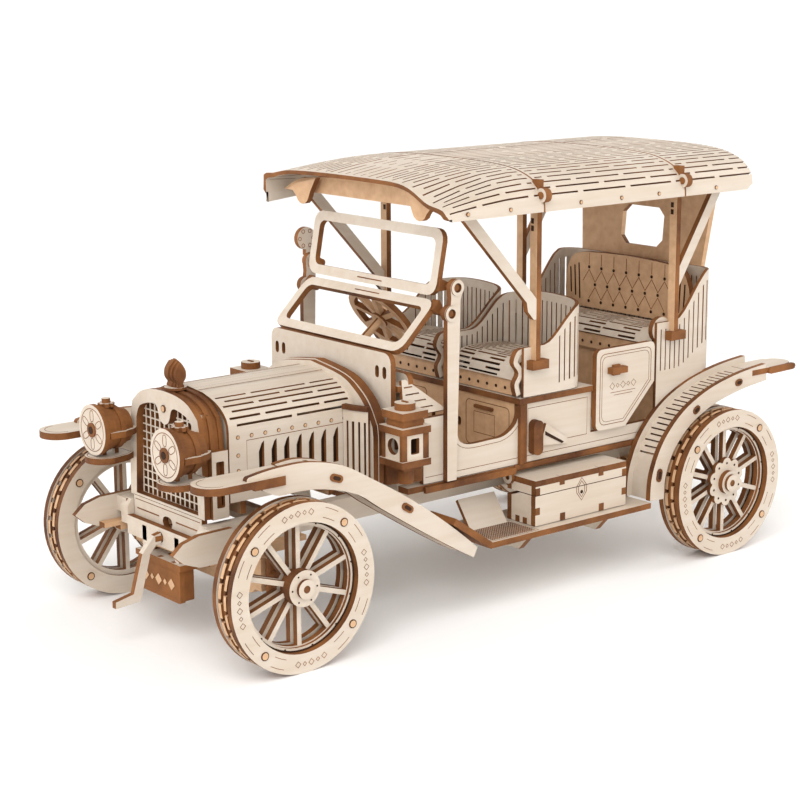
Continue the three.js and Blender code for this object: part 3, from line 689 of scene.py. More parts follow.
# ---------- fenders ----------
FENDER_X = (46.8, 61.5)
FRONT_LINE = [(-139.4, 76.6), (-133, 77.5), (-125, 78), (-113, 77.7), (-98, 74), (-84, 66.4), (-65, 55),
              (-46, 41.4), (-31, 29.2)]
FRONT_UNDER = [(-134, 70.4), (-127, 67.4), (-118, 67.5), (-106, 66.2), (-91, 61.5), (-80, 54.2), (-61, 42),
               (-43, 31), (-33, 25.4)]
REAR_LINE = [(67.4, 30.4), (68.6, 42), (75, 55.5), (87, 67), (103, 74.6), (122, 79), (140, 81)]


def tapered(line, near, far):
    """The band under a line, its depth running from near at the start to far at the end."""
    last = len(line) - 1
    lower = [shifted(line, -near - (far - near) * k / last)[k] for k in range(last + 1)]
    return line + lower[::-1]


def peg_slot(sheet, u, v, angle, level, length=4.6):
    sheet.plate(capsule(u, v, length, 3, angle), "x", level, level + 0.5, (), EDGE)
    core = capsule(u, v, length * 0.6, 1.5, angle)
    sheet.plate(core, "x", level + 0.4, level + 0.62, (), CHAR_AND_DEEP_SHADE)


def front_fender():
    x0, x1 = FENDER_X
    fender = Sheet()
    line = smooth(FRONT_LINE, 4)
    under = smooth(FRONT_UNDER, 3)
    finger = arc(1.55, 90, 270, 6, -139.6, 75.1)
    side_outline = line + under[::-1] + [(-136.6, 73.2)] + finger[::-1][:-1]
    fender.plate(side_outline, "x", x1 - PLY, x1)
    sheet_line = smooth([(-120, 75.4), (-113, 76), (-106, 75.2), (-98, 72.7), (-84, 65.2), (-65, 53.8),
                         (-46, 40.4), (-34, 31)], 4)
    inner_under = [p for p in under if p[0] > -120]
    fender.plate(shifted(sheet_line, 0.3) + inner_under[::-1], "x", x0, x0 + PLY)
    steps = resampled(sheet_line, [2.2 * k for k in range(60)])
    last = next(k for k in range(1, 60) if steps[k] == steps[k - 1])
    steps = steps[:last]
    cross = [x0 + PLY, x0 + 4, x0 + 6.8, x0 + 7.6, x1 - 4, x1 - PLY]

    def is_open(i, j):
        return i % 4 == 1 and j in (1, 3) and 2 < i < 20

    fender.bent(steps, LAY["x"], cross, 1.4, is_open)
    middle = (x0 + x1) / 2 + 0.8
    tip = arc(8, 180, 360, 14, middle, -151.4)
    tongue = tip + [(middle + 8, -125), (x1 - PLY, -125), (x1 - PLY, -117)]
    tongue += [(x0 + 0.2, -117), (x0 + 0.2, -140)]
    fender.plate(tongue, "z", 72.2, 75)
    fender.line(arc(6.2, 180, 360, 14, middle, -151), "z", 75, 1, 0.22)
    for u, v, angle in ((-101, 69.6, -20), (-67, 52, -33)):
        peg_slot(fender, u, v, angle, x1, 6.2)
    fender.plate(rect(-138.6, -125, 71.4, 74.5), "x", x1 - 0.3, x1 + 1.5, (), EDGE)
    return fender


def rear_fender():
    x0, x1 = FENDER_X
    fender = Sheet()
    line = smooth(REAR_LINE, 5)
    fender.plate(tapered(line, 8.6, 7.5), "x", x1 - PLY, x1)
    fender.plate(shifted(line, 1.8) + shifted(line, -6)[::-1], "x", x0, x0 + PLY)
    sheet_line = shifted(line, -1.2)
    pitch, slit = 2.9, 0.75
    length = line_length(sheet_line)
    cuts = slits(math.ceil(length / pitch) - 2, pitch - slit, slit, pitch)
    steps = resampled(sheet_line, [0, *cuts, length])
    cross = [x0 + PLY, x0 + 3, x0 + 4.4, x1 - PLY - 0.4, x1 - PLY]

    def is_open(i, j):
        return 12 < i < 56 and i % 2 == 1 and (j == 2 or (j == 1 and i % 4 == 1))

    fender.bent(steps, LAY["x"], cross, 1.4, is_open)
    tail = [(x0, 131), (x1 + 0.1, 131), (x1 + 0.1, 155)]
    tail += arc(6, 0, 180, 8, (x0 + x1) / 2, 155.4) + [(x0, 155)]
    fender.plate(tail, "z", 76.6, 79.1)
    for u, v, angle in ((95, 66.6, 34), (122, 75, 10), (72.6, 41, 80)):
        peg_slot(fender, u, v, angle, x1, 6 if u < 80 else 4.6)
    fender.plate(capsule(150, 77.8, 18, 2.9, 1), "x", x1 - 0.3, x1 + 1.2, (), EDGE)
    return fender


def build_fenders():
    front_fender().pair("front_fender_plates", "front_fender")
    rear_fender().pair("rear_fender_plates", "rear_fender")


# ---------- radiator, hood and dash ----------
RADIATOR_FRONT = -136.5
HOOD_Y = (-125.5, -66)


def shell_outline(inset=0.0, foot=52.0):
    return both_halves(
        [(26.3 - inset, foot), (26.3 - inset, 60), (24.4 - inset, 84)]
        + smooth([(23 - inset, 90 - inset), (17, 94.6 - inset), (9, 96.9 - inset), (0, 97.5 - inset)], 3)
    )


def build_radiator():
    front = RADIATOR_FRONT
    shell = Sheet()
    lobe = smooth([(20.3, 84), (17.5, 89), (9, 91.5), (5.5, 91), (4, 88)], 3)
    opening = [(-22, 53), (22, 53), (21, 70)] + lobe + arc(4, -20, -160, 5, 0, 88.4)
    opening += [(-u, v) for u, v in lobe[::-1]] + [(-21, 70)]
    shell.plate(shell_outline(), "y", front, front + PLY, [opening])
    for k in range(4):
        inset = 0.9 if k % 2 == 0 else 0.1
        y = front + PLY + 2.0 * k
        shell.plate(shell_outline(inset, 51.6), "y", y, y + 2.0, [opening], EDGE)
    shell.plate(rect(-24.1, 24.1, 37, 51.8), "y", front, front + PLY, [capsule(0, 45.4, 7, 4.6)])
    shell.line([(-23, 50.4), (23, 50.4)], "y", front, -1, 0.3)
    for side in (-1, 1):
        shell.line([(side * 22, 46.8), (side * 6, 46.8)], "y", front, -1, 0.55)
        shell.plate(rect(-133.5, -126.2, 51.8, 78), "x", 25.2 * side, 27.6 * side,
                    [rounded(-131.6, -128, 56, 74, 0.6)])
    shell.peg(0, 90.6, "y", front, -1, 1.5, 0.5)
    shell.plate(rect(-24.1, 24.1, -134, -126.5), "z", 37, 39.5)
    shell.piece("radiator_shell_layers", "radiator_shell")

    columns, rows = 13, 12
    grille = Sheet()
    pitch_x, pitch_z, gap_x, gap_z = 42.6 / columns, 37.5 / rows, 2.3, 2.5
    across = [-21.9, *slits(columns, -21.3 + (pitch_x - gap_x) / 2, gap_x, pitch_x), 21.9]
    up = [52.2, *slits(rows, 52.8 + (pitch_z - gap_z) / 2, gap_z, pitch_z), 91.4]
    grille.bent([(x, front + 3) for x in across], LAY["z"], up, -1.6,
                lambda i, j: i % 2 == 1 and j % 2 == 1)
    # A dark sheet behind the lattice: painted shade inside the radiator.
    grille.plate(rect(-21.9, 21.9, 52.2, 91), "y", front + 5, front + 5.6, (), CHAR_AND_DEEP_SHADE)
    grille.piece("radiator_grille_lattice", "radiator_grille")

    flames = Sheet()
    foot = 97.9
    flame = smooth([(1.9, foot), (2.2, 99.5), (1.6, 100.6), (3.6, 103), (3.4, 106), (1.6, 108.2),
                    (0, 109.5)], 3)
    for k in range(-2, 3):
        narrow, low = 1 - 0.17 * abs(k), 1 - 0.05 * abs(k)
        half = [(u * narrow, foot + (v - foot) * low) for u, v in flame]
        outline = [(u - 131, v) for u, v in both_halves(half)]
        flames.plate(outline, "x", 1.6 * k - 0.75, 1.6 * k + 0.75, (), EDGE)
    flames.plate(circle(4.4, 20, 0, -131), "z", 97.6, 98.6)
    flames.piece("radiator_flame", "radiator_cap")


def hood_side():
    """The left flat side of the hood: louvres, rivets and a scored frame."""
    sheet = Sheet()
    front, rear = HOOD_Y
    louvres = []
    for k in range(7):
        y = -112 + 5.9 * k
        louvres.append([(y, 65), (y + 2.5, 65), (y + 2.5, 79), (y + 1.4, 78.2), (y, 75)])
    sheet.plate(rect(front, rear, 57, 84), "x", 25.9, 27.5, louvres)
    sheet.line(rect(-117.5, -69.5, 61, 80.3), "x", 27.5, 1, 0.25, True)
    for k in range(9):
        sheet.peg(-121.5 + 6.3 * k, 82, "x", 27.5, 1, 0.85, 0.12, 10)
    for k in range(3):
        sheet.peg(-121.5, 63 + 6 * k, "x", 27.5, 1, 0.85, 0.12, 10)
    # A dark sheet inside the hood: painted shade seen through the louvres.
    sheet.plate(rect(front + 1, rear - 1, 58, 82), "x", 24.6, 25.2, (), CHAR_AND_DEEP_SHADE)
    return sheet


def build_hood():
    front, rear = HOOD_Y
    curve = smooth([(27.5, 84), (27, 87.4), (24.6, 91), (19, 94.6), (10, 97.2), (0, 98)], 6)
    length = line_length(curve)
    half = resampled(curve, [0, *slits(6, 2.2, 0.9, 2.9), 23.5, length])
    profile = both_halves(half)
    middle = len(half) - 1
    period, bridge = 28.0, 2.4
    stations = sorted({front, rear, *slits(5, front + 1.5, bridge, period / 2)})
    stations = [y for y in stations if y <= rear]
    pattern = staggered(stations, front + 1.5, period, bridge, range(12),
                        lambda y: front + 1.5 < y < rear - 1.5)
    hood = Sheet().bent(profile, LAY["y"], stations, -1.6,
                        lambda i, j: pattern(i if i < middle else 2 * middle - 1 - i, j))
    for x in (-7.6, -3.4, 3.4, 7.6):
        hood.line([(x, front), (x, rear)], "z", 97.65, 1, 0.35)
    left = hood_side()
    for side in (left.mirrored(), left):
        hood.add(side.points, side.faces, side.slots)
    for y in (front + 0.2, rear - 2.7):
        rib = [(u * 0.93, v - 1.8) for u, v in profile] + [(-25.5, 58), (25.5, 58)]
        hood.plate(rib, "y", y + 1, y + 2.5)
    hood.piece("hood_sheets", "hood")


def arch_outline(inset, foot=57.0):
    return both_halves([(41 - inset, foot), (41 - inset, 76)] + smooth(
        [(40.4 - inset, 80), (36 - inset, 87.6 - inset), (30 - inset, 93 - inset),
         (20, 97.8 - inset), (0, 100.8 - inset)], 4))


def build_firewall():
    wall = Sheet()
    wall.plate(arch_outline(0), "y", -64.4, -61.9)
    wall.plate(arch_outline(0.5), "y", -66.8, -64.4)
    wall.plate(arch_outline(0.3, 70), "y", -61.9, -60, (), EDGE)
    holes = [capsule(side * u, 99.5, 5, 2.4, 90) for side in (-1, 1) for u in (31.4, 36)]
    wall.plate(rounded(-40, 40, 60, 107.5, 4), "y", -57.5, -55, holes)
    # A dark sheet behind the board: painted shade seen through its slots.
    wall.plate(rect(-38, 38, 88, 104), "y", -54.9, -54.6, (), CHAR_AND_DEEP_SHADE)
    wall.piece("firewall_boards", "firewall")

    flare = Sheet()
    plan = [(27.6, -70.4), (28.6, -70.2)]
    curve = smooth([(28.6, -70.2), (32, -69.6), (35.4, -68.2), (38.6, -66.9)], 8)
    length = line_length(curve)
    plan += resampled(curve, [c for c in slits(4, 0.9, 0.9, 2.6) if c < length - 0.8] + [length])
    top = 86
    flare.bent(plan, LAY["z"], [57, 60.5, 81.5, top], 1.5,
               lambda i, j: j == 1 and i % 2 == 0 and i > 1)
    rim = shifted(plan, -2.2)
    flare.plate(plan + rim[::-1], "z", top, top + 1.9, (), EDGE)
    flare.plate(plan + [(38.6, -67), (27.6, -67)], "z", 55.2, 57)
    flare.pair("cowl_flare")

    cowl = Sheet()
    cowl.plate([(39.3, -61.2), (42, -61.2), (BODY_X, -46.4), (43.4, -46.4)], "z", 56, 79.8)
    cowl.plate([(42.6, -56), (47.4, -50), (47.4, -46.6), (42.6, -46.6)], "z", 79.8, 81.6)
    peak, fall = 96.6, 13.6
    slope = [(40.2, peak), (48.4, peak - fall)]
    steps = resampled(slope, [0, 3.2, 3.8, 6.4, 7.0, 9.6, 10.2, 12.8, 13.4, 15.8])

    def spread(u, v, w):
        """The plate widens downwards, from its peak to a foot that runs along the body side."""
        share = (peak - v) / fall
        return (u - 3 * share, -52 + (w + 0.35) * (2 + 20 * share), v)

    cowl.bent(steps, spread, [-0.5, -0.36, 0.3, 0.5], 1.3, lambda i, j: i % 2 == 1 and j == 1)
    dash = Sheet()
    for x in (-40.5, 40.5):
        dash.plate(rect(x - 2.5, x + 2.5, 77, 87), "y", -49.5, -47)
    dash.plate(rounded(-41, 41, 87, 98.6, 3), "y", -49.5, -47,
               [circle(3, 16, u, 93.6) for u in (-8, 2)] + [capsule(14, 93.6, 7, 2.4)])
    dash.box(-41, 41, -54.6, -49.6, 92, 94.4)
    cowl.pair("cowl_side")
    dash.piece("dashboard", "cowl")


# ---------- lamps ----------
def headlamp():
    x, z = 26.2, 80
    lamp = Sheet()
    lamp.plate(circle(10, 36, x, z), "y", -153, -151)
    lamp.plate(circle(9.2, 36, x, z), "y", -151, -149, (), EDGE)
    lamp.line(circle(8.4, 36, x, z), "y", -153, -1, 0.3, True)
    for k in range(6):
        angle = 60 * k + 30
        petal = capsule(*polar(5.5, angle, x, z), 4.6, 2.4, angle)
        lamp.line(petal, "y", -153, -1, 0.28, True)
    lamp.plate(circle(2.9, 20, x, z), "y", -153.6, -153, (), EDGE)
    lamp.plate(circle(1.5, 14, x, z), "y", -153.8, -153.5, (), CHAR_AND_DEEP_SHADE)
    for k, radius in enumerate((8.6, 7.9, 8.6, 7.4, 6.6)):
        lamp.plate(circle(radius, 30, x, z), "y", -149 + 2.1 * k, -149 + 2.1 * (k + 1), (), EDGE)
    gear = []
    for k in range(7):
        gear += arc(3.3, 360 / 7 * k - 14, 360 / 7 * k + 14, 3, x, -146.4)
        gear += arc(2.3, 360 / 7 * (k + 0.5) - 8, 360 / 7 * (k + 0.5) + 8, 2, x, -146.4)
    lamp.plate(gear, "z", 88.4, 90)
    lamp.plate(circle(1.7, 14, x, -146.4), "z", 90, 91.8)
    cradle = [(x + 9.8, -150.4), (x + 10.2, -144)] + arc(9.4, 10, 60, 4, x, -144)
    cradle += [(x + 3, -137), (x - 3, -137)] + arc(9.4, 120, 170, 4, x, -144) + [(x - 10.2, -144)]
    cradle += [(x - 9.8, -150.4), (x - 8.2, -150.4), (x - 8.4, -144), (x - 4, -139.5), (x + 4, -139.5),
               (x + 8.4, -144), (x + 8.2, -150.4)]
    lamp.plate(cradle, "z", 77.6, 80)
    base = arc(7.6, 180, 360, 12, x, -148) + [(x + 6, -141), (x + 3.5, -137), (x - 3.5, -137), (x - 6, -141)]
    lamp.plate(base, "z", 67, 69.5)
    lamp.line(shifted(base + base[:1], 0.9)[:-1], "z", 69.5, 1, 0.25, True)
    for y in (-149.5, -144):
        lamp.plate(rect(x - 1.2, x + 1.2, 69.5, 74), "y", y, y + 1.8)
    return lamp


def lantern():
    x, y, half = 52, -60.2, 7.3
    lamp = Sheet()

    def square(reach, z0, z1, face=FACE):
        lamp.plate(rounded(x - reach, x + reach, y - reach, y + reach, 0.5, 2), "z", z0, z1, (), face)

    lamp.plate(circle(3.3, 16, x, y), "z", 59, 64.6)
    square(4.6, 64.6, 66.5, EDGE)
    square(half, 66.5, 69.2)
    for sign in (-1, 1):
        near, far = 4.2 * sign, 6 * sign
        lamp.plate(rect(x - 4.8, x + 4.8, 69.2, 79.4), "y", y + near, y + far, [circle(3.3, 22, x, 74.3)])
        window = rounded(y - 2, y + 2.2, 71.4, 77.6, 0.6)
        lamp.plate(rect(y - 4.2, y + 4.2, 69.2, 79.4), "x", x + near, x + far, [window])
        for other in (-1, 1):
            u, v = x + 5.6 * sign, y + 5.4 * other
            lamp.plate(rounded(u - 0.9, u + 0.9, v - 1.3, v + 1.3, 0.3, 2), "z", 69.2, 79.4, (), EDGE)
    lamp.plate(rounded(x - 1.2, x + 1.2, y - 1.2, y + 1.2, 0.3), "z", 69.2, 77)
    # A dark sheet inside the lantern: painted shade seen through its windows.
    lamp.plate(rect(x - 4.1, x + 4.1, 69.3, 79.3), "y", y + 2.4, y + 2.8, (), CHAR_AND_DEEP_SHADE)
    square(half, 79.4, 82.1)
    square(5.2, 82.1, 85.2, EDGE)
    square(6.5, 85.2, 88.2)
    lamp.plate(circle(4.1, 26, x, y), "z", 88.2, 91)
    lamp.plate(rounded(x - 1.8, x + 1.8, y - 0.5, y + 0.5, 0.2, 2), "z", 91, 91.4, (), EDGE)
    lamp.plate(rect(y - 3.3, y - 0.3, 66.6, 69.2), "x", 42.5, x - half + 0.2)
    return lamp


def build_lamps():
    headlamp().pair("headlamp_layers", "headlamp")
    lantern().pair("side_lantern_plates", "side_lantern")


# ---------- body, doors and seats ----------
def body_side():
    side = Sheet()
    entrance = smooth([(5.2, 79), (3.6, 72), (-3, 67.6), (-12, 67), (-22, 67), (-27, 69), (-28.5, 73)], 4)
    outline = [(-46, 54.4), (82, 54.4), (82, 61.3), (46.2, 61.3), (46.2, 79)]
    outline += entrance + [(-28.5, 81), (-46, 81)]
    side.plate(outline, "x", BODY_X - PLY, BODY_X)
    side.line([(-45, 57), (81, 57)], "x", BODY_X, 1, 0.22)
    side.line(shifted(entrance, 1.6)[2:-2], "x", BODY_X, 1, 0.22)
    side.line([(10, 61), (44, 61), (44, 77), (10, 77)], "x", BODY_X, 1, 0.25, True)
    side.box(BODY_X, BODY_X + 1.5, -46, 2.5, 50.8, 53.4, "x", EDGE)
    side.box(BODY_X, BODY_X + 0.8, 2.5, 70, 52.3, 54.2, "x", EDGE)
    side.box(BODY_X, BODY_X + 1.7, 4.4, 6.2, 54.4, 79.4, "x", EDGE)
    side.box(BODY_X, BODY_X + 1.1, 6.4, 8.6, 54.4, 79.4, "x", EDGE)
    for k in range(4):
        level = BODY_X + 0.9 * k
        side.plate(rounded(10.4, 15.6, 57.4, 72, 2.2), "x", level, level + 0.8, (), EDGE)
    side.plate([(15.6, 60.6), (19, 69.6), (31, 61.6), (31, 59.4)], "x", BODY_X, BODY_X + 1.6)
    side.plate([(18.4, 66.4), (29, 60.4), (28, 59.8), (18.4, 64.8)], "x", BODY_X + 1.6, BODY_X + 1.8, (),
               CHAR_AND_DEEP_SHADE)
    for z in (72.5, 77.5):
        side.plate(capsule(-44.6, z, 2.4, 0.9, 90), "x", BODY_X, BODY_X + 0.1, (), CHAR_AND_DEEP_SHADE)
    return side


def door():
    y0, y1 = 46.5, 81.5
    leaf = Sheet()

    def outline(inset):
        r = 2.6
        corner = arc(r, 180, 270, 3, y0 + inset + r, 62 + inset + r)
        top = arc(r, 0, 90, 3, y1 - inset - r, 97 - inset - r)
        top += arc(r, 90, 180, 3, y0 + inset + r, 97 - inset - r)
        return corner + [(64.2 - inset * 0.4, 62 + inset), (y1 - inset, 79.3 + inset * 0.4)] + top

    back = BODY_X + 0.35
    face = back + PLY
    leaf.plate(outline(0), "x", back, face)
    leaf.line(outline(2.2), "x", face, 1, 0.3, True)
    leaf.line(outline(3.4), "x", face, 1, 0.2, True)
    leaf.plate(rect(53, 62, 86.2, 88.9), "x", face, face + 3.2, (), EDGE)
    leaf.plate(rect(55.5, 59.5, 85.2, 89.8), "x", face, face + 1.2, (), EDGE)
    for k in range(5):
        size = 1.5 if k % 2 == 0 else 0.9
        leaf.line(diamond(56 + 3.2 * k, 80.4, size), "x", face, 1, 0.24, True)
    leaf.line([(55, 77.6), (70, 77.6)], "x", face, 1, 0.22)
    leaf.line([(57, 76.4), (68, 76.4)], "x", face, 1, 0.22)
    return leaf


def build_body():
    body_side().pair("body_side_panel", "body_side")
    door().pair("rear_door_leaf", "rear_door", "rear_door")


def tub_height(y, y0, y1, arm, back):
    t = (y - y0) / (y1 - y0)
    s = min(max((t - 0.3) / 0.6, 0), 1)
    return arm + (back - arm) * s * s * (3 - 2 * s)


def tub(x0, x1, y0, y1, z0, arm, back, corner, slot_from, slot_to, crown=2.0, plain=0.0):
    """A U of bent sheet with a flowing top edge and slits, but none over its first plain mm."""
    path = (
        [(x1, y0 + (y1 - corner - y0) * k / 12) for k in range(12)]
        + arc(corner, 0, 90, 6, x1 - corner, y1 - corner)
        + arc(corner, 90, 180, 6, x0 + corner, y1 - corner)
        + [(x0, y1 - corner - (y1 - corner - y0) * k / 12) for k in range(1, 13)]
    )
    length = line_length(path)
    cuts = [0, *slits(math.ceil((length - 3.6) / 2.9), 2.3, 0.6, 2.9), length]
    steps = resampled(path, cuts)
    middle = (x0 + x1) / 2

    def place(u, v, w):
        top = tub_height(v, y0, y1, arm, back)
        top += crown * max(0, 1 - ((u - middle) / (x1 - x0) * 2) ** 2) * (v > y1 - corner - 0.1)
        return (u, v, z0 + (top - z0) * w)

    sheet = Sheet()
    sheet.bent(steps, place, [0, slot_from, slot_to, 1], 1.6,
               lambda i, j: j == 1 and i % 2 == 1 and cuts[i] > plain)
    return sheet


def cushion(x0, x1, y0, y1, z0, z1, rows=18):
    """A slitted sheet bent over the seat frame, with a row of rivets along its foot."""
    seat = Sheet()
    curve = [(y1, z1 - 1.2)] + smooth(
        [(y1 - 4, z1 - 0.4), ((y0 + y1) / 2, z1), (y0 + 5, z1 - 0.4), (y0 + 1.2, z1 - 3), (y0, z0 + 6.5)], 4)
    length = line_length(curve)
    pitch = length / rows
    steps = resampled(curve, [0, *slits(rows, pitch / 2 - 0.4, 0.8, pitch), length])
    columns = 2 if x1 - x0 < 50 else 4
    cross = [x0]
    for k in range(columns):
        a = x0 + (x1 - x0) * k / columns
        cross += [a + 1.2, a + (x1 - x0) / columns / 2 - 0.5, a + (x1 - x0) / columns / 2 + 0.7]
    cross.append(x1)

    def is_open(i, j):
        if i % 2 == 0:
            return False
        return j % 3 != (2 if (i // 2) % 2 else 0) and 0 < j < len(cross) - 2

    seat.bent(steps, LAY["x"], cross, 1.3, is_open)
    # A dark slab under the sheet: painted shade seen through the slits. The front strip takes the browner
    # wood, painted shade.
    seat.box(x0 + 0.4, x1 - 0.4, y0 + 3, y1, z0, z1 - 5, "z", CHAR_AND_DEEP_SHADE)
    seat.box(x0, x1, y0, y0 + 1.8, z0, z0 + 6.4, "y", TAN_AND_SHADE)
    for k in range(int((x1 - x0 - 3) / 5.6)):
        seat.peg(x0 + 3.6 + 5.6 * k, z0 + 2.6, "y", y0, -1, 0.75, 0.12, 8, False)
    for x in (x0, x1 - 1.6):
        seat.plate(curve + [(y0, z0), (y1, z0)], "x", x, x + 1.6)
    return seat


def build_seats():
    base = Sheet()
    base.box(-47.5, 47.5, 4.2, 46, 79.5, 82)
    front = rect(-43.2, 43.2, 54.5, 79.5)
    slots = [capsule(sign * 8.5, 66, 4, 2.4, 90) for sign in (-1, 1)]
    # The front board takes the browner wood: painted shade under the seat.
    base.plate(front, "y", 5, 7.5, slots, TAN_AND_SHADE)
    for sign in (-1, 1):
        base.line(rounded(*sorted((sign * 13, sign * 40)), 57.6, 76.6, 2), "y", 5, -1, 0.3, True)
        base.line(rect(*sorted((sign * 18, sign * 31)), 63, 72), "y", 5, -1, 0.3, True)
        base.plate(capsule(sign * 24.5, 74.4, 12, 1.5), "y", 4.2, 5, (), EDGE)
    base.plate(front, "y", 42.5, 45)
    base.piece("front_seat_bench", "front_seat_base")
    near = tub(2.5, BODY_X, 6, 42, 82.4, 103, 117, 10, 0.14, 0.9, plain=17)
    curl = smooth([(3.4, 83), (2.2, 88), (4.4, 92.5), (1.6, 97), (3.6, 101.6), (7.2, 102.6)], 4)
    roll = curl + shifted(curl, -2.3)[::-1]
    for x in (2.4, BODY_X - 2.4):
        near.plate(roll, "x", x, x + 2.6)
    near.pair("front_tub_bent", "front_seat_tub")
    cushion(5.4, 43.1, 5.4, 35, 82.4, 96).pair("front_cushion_sheet", "front_seat_cushion")

    cushion(-42.8, 42.8, 86, 111.5, 86.9, 98, 13).piece("rear_cushion_sheet", "rear_seat_cushion")
    back = Sheet()
    half = [(38.5, 98.5), (39.6, 106), (39.2, 112)] + smooth(
        [(38.6, 115), (36, 120.6), (31, 123.6), (18, 124.8), (0, 125.4)], 4)
    # The backrest takes the browner wood: painted shade under the roof.
    back.plate(both_halves(half), "y", 113.2, 116.2, (), TAN_AND_SHADE)
    for row, z in enumerate((117.5, 109.5, 101.5)):
        for k in range(-3, 4):
            x = 8 * k + (4 if row % 2 else 0)
            if abs(x) > 26:
                continue
            back.peg(x, z, "y", 113.2, -1, 0.8, 0.15, 8, False)
            for lean in (-1, 1):
                if row < 2 and abs(x + 4 * lean) <= 28:
                    back.line([(x, z - 1.2), (x + 4 * lean, z - 6.8)], "y", 113.2, -1, 0.3)
    for k in range(-3, 4):
        back.line([(8 * k, 124), (8 * k, 118.6)], "y", 113.2, -1, 0.3)
    for sign in (-1, 1):
        for k in range(3):
            stroke = capsule(sign * (30.4 + 2.8 * k), 110.4, 17 - 2.4 * k, 0.8, 90 - sign * 3)
            back.plate(stroke, "y", 113.12, 113.2, (), CHAR_AND_DEEP_SHADE)
    back.piece("rear_backrest_tufted", "rear_seat_back")
    rear = tub(-BODY_X, BODY_X, 84, 121, 61.5, 104, 124, 9, 0.5, 0.93, 0)
    for x in (-BODY_X - 0.1, BODY_X - 2.4):
        rear.plate(circle(5.5, 24, 88.2, 100.6), "x", x, x + PLY)
    rear.piece("rear_tub_bent", "rear_tub")


# ---------- running boards and tool box ----------
def hatched(sheet, u0, u1, v0, v1, level, pitch):
    """Crossed scorched lines over a rectangle of a level face."""
    wide, deep = u1 - u0, v1 - v0
    for k in range(1, int((wide + deep) / pitch)):
        c = k * pitch
        a = (u0 + min(c, wide), v0 + max(0, c - wide))
        b = (u0 + max(0, c - deep), v0 + min(c, deep))
        sheet.line([a, b], "z", level, 1, 0.3)
        sheet.line([(u0 + u1 - a[0], a[1]), (u0 + u1 - b[0], b[1])], "z", level, 1, 0.3)


def running_board():
    x0, x1, y0, y1 = 46.8, 62.5, -24, 67
    board = Sheet()
    board.box(30, x1, y0, y1, 27.5, 30)
    lip = [(y0, 30), (-43, 43.2), (-44.6, 41.1), (y0 - 0.8, 27.5), (y0, 27.5)]
    board.plate(lip, "x", x0, x1, (), EDGE)
    board.bent([(y0, 30.12), (-43, 43.32)], LAY["x"], [x0, x1], -0.1)
    hatched(board, 44, 60.4, y0 + 2, 1.5, 30, 1.25)
    board.line(rect(43, 61.3, y0 + 1, 2.4), "z", 30, 1, 0.25, True)
    brace = [(33, 29), (33, 25), (40, 21), (54, 21), (60, 27.4), (60, 29)]
    for y in (-2, 42):
        board.plate(brace, "y", y, y + 3)
    board.bent([(36.5, 41.5), (44.8, 30)], LAY["y"], [-20, 0], 1.6)
    return board


def tool_box_sheets():
    x0, x1, y0, y1, seam, top = 41, 58, 3.5, 56, 43, 49.5
    box = Sheet()
    bottom = 30.35
    box.box(x1 - PLY, x1, y0, y1, bottom, seam, "x")
    box.box(x0, x0 + PLY, y0, y1, bottom, 41.2, "x")
    end = [(x0 + PLY, bottom), (x1 - PLY, bottom), (x1 - PLY, seam), (x0 + 7.6, seam), (x0 + PLY, 41)]
    for y in (y0, y1 - PLY):
        box.plate(end, "y", y, y + PLY)
    box.box(x0 + PLY, x1 - PLY, y0 + PLY, y1 - PLY, bottom, bottom + PLY)

    def side_tab(sheet, y, width, low, high):
        sheet.box(x1 - 0.2, x1 + 0.08, y, y + width, low, high, "x", EDGE)

    def end_tab(sheet, left, right, low, high):
        sheet.box(left, right, y0 - 0.08, y0, low, high, "y", EDGE)

    for y in (y0 + 14, y1 - 16):
        side_tab(box, y, PLY + 0.4, bottom, bottom + 3.2)
    for y in (y0, y1 - PLY):
        side_tab(box, y, PLY, 35, 38)
    for z in (31, 38.8):
        end_tab(box, x1 - PLY, x1 - 0.01, z, z + 3.6)
        end_tab(box, x0, x0 + PLY, z - 0.4, z + 2.4)
    for x in (x0 + 5, x1 - 7.5):
        end_tab(box, x, x + 2.5, bottom, bottom + 2.6)
    mark_y, mark_z = (y0 + y1) / 2, 40.6
    for size in (3.6, 2.2):
        a, b = mark_y - size * 0.8, mark_y + size * 0.8
        box.line([(a, seam), (a, mark_z), (mark_y, mark_z - size), (b, mark_z), (b, seam)],
                 "x", x1, 1, 0.3)
    box.peg(mark_y, mark_z, "x", x1, 1, 0.8, 0.1, 8, False)

    lid = Sheet()
    low = seam + 0.35
    lid.box(x0, x1, y0, y1, top - PLY, top)
    lid.box(x1 - PLY, x1, y0, y1, low, top - PLY, "x")
    lid.box(x0, x0 + PLY, y0, y1, low, top - PLY, "x")
    for y in (y0, y1 - PLY):
        lid.box(x0 + PLY, x1 - PLY, y, y + PLY, low, top - PLY, "y")
    for y in (y0 + 13.5, y1 - 16.5):
        side_tab(lid, y, PLY + 0.4, top - PLY - 1.4, top)
        lid.box(x1 - PLY, x1, y, y + PLY + 0.4, top - 0.1, top + 0.08)
    for y in (y0, y1 - PLY):
        side_tab(lid, y, PLY, low, low + 3)
    end_tab(lid, x0 + 6, x0 + 8.5, top - PLY, top)
    for size in (3.4, 2):
        a, b = mark_y - size * 0.8, mark_y + size * 0.8
        lid.line([(a, low), (mark_y, low + size), (b, low)], "x", x1, 1, 0.3)
    lid.plate(circle(2.7, 24, 43, 48.6), "y", y0 - 1.9, y0 - 0.1, [circle(1.2, 16, 43, 48.6)])
    lid.box(42, 44, y0 - 0.3, y0, 45.8, 49.4, "y")
    return box, lid


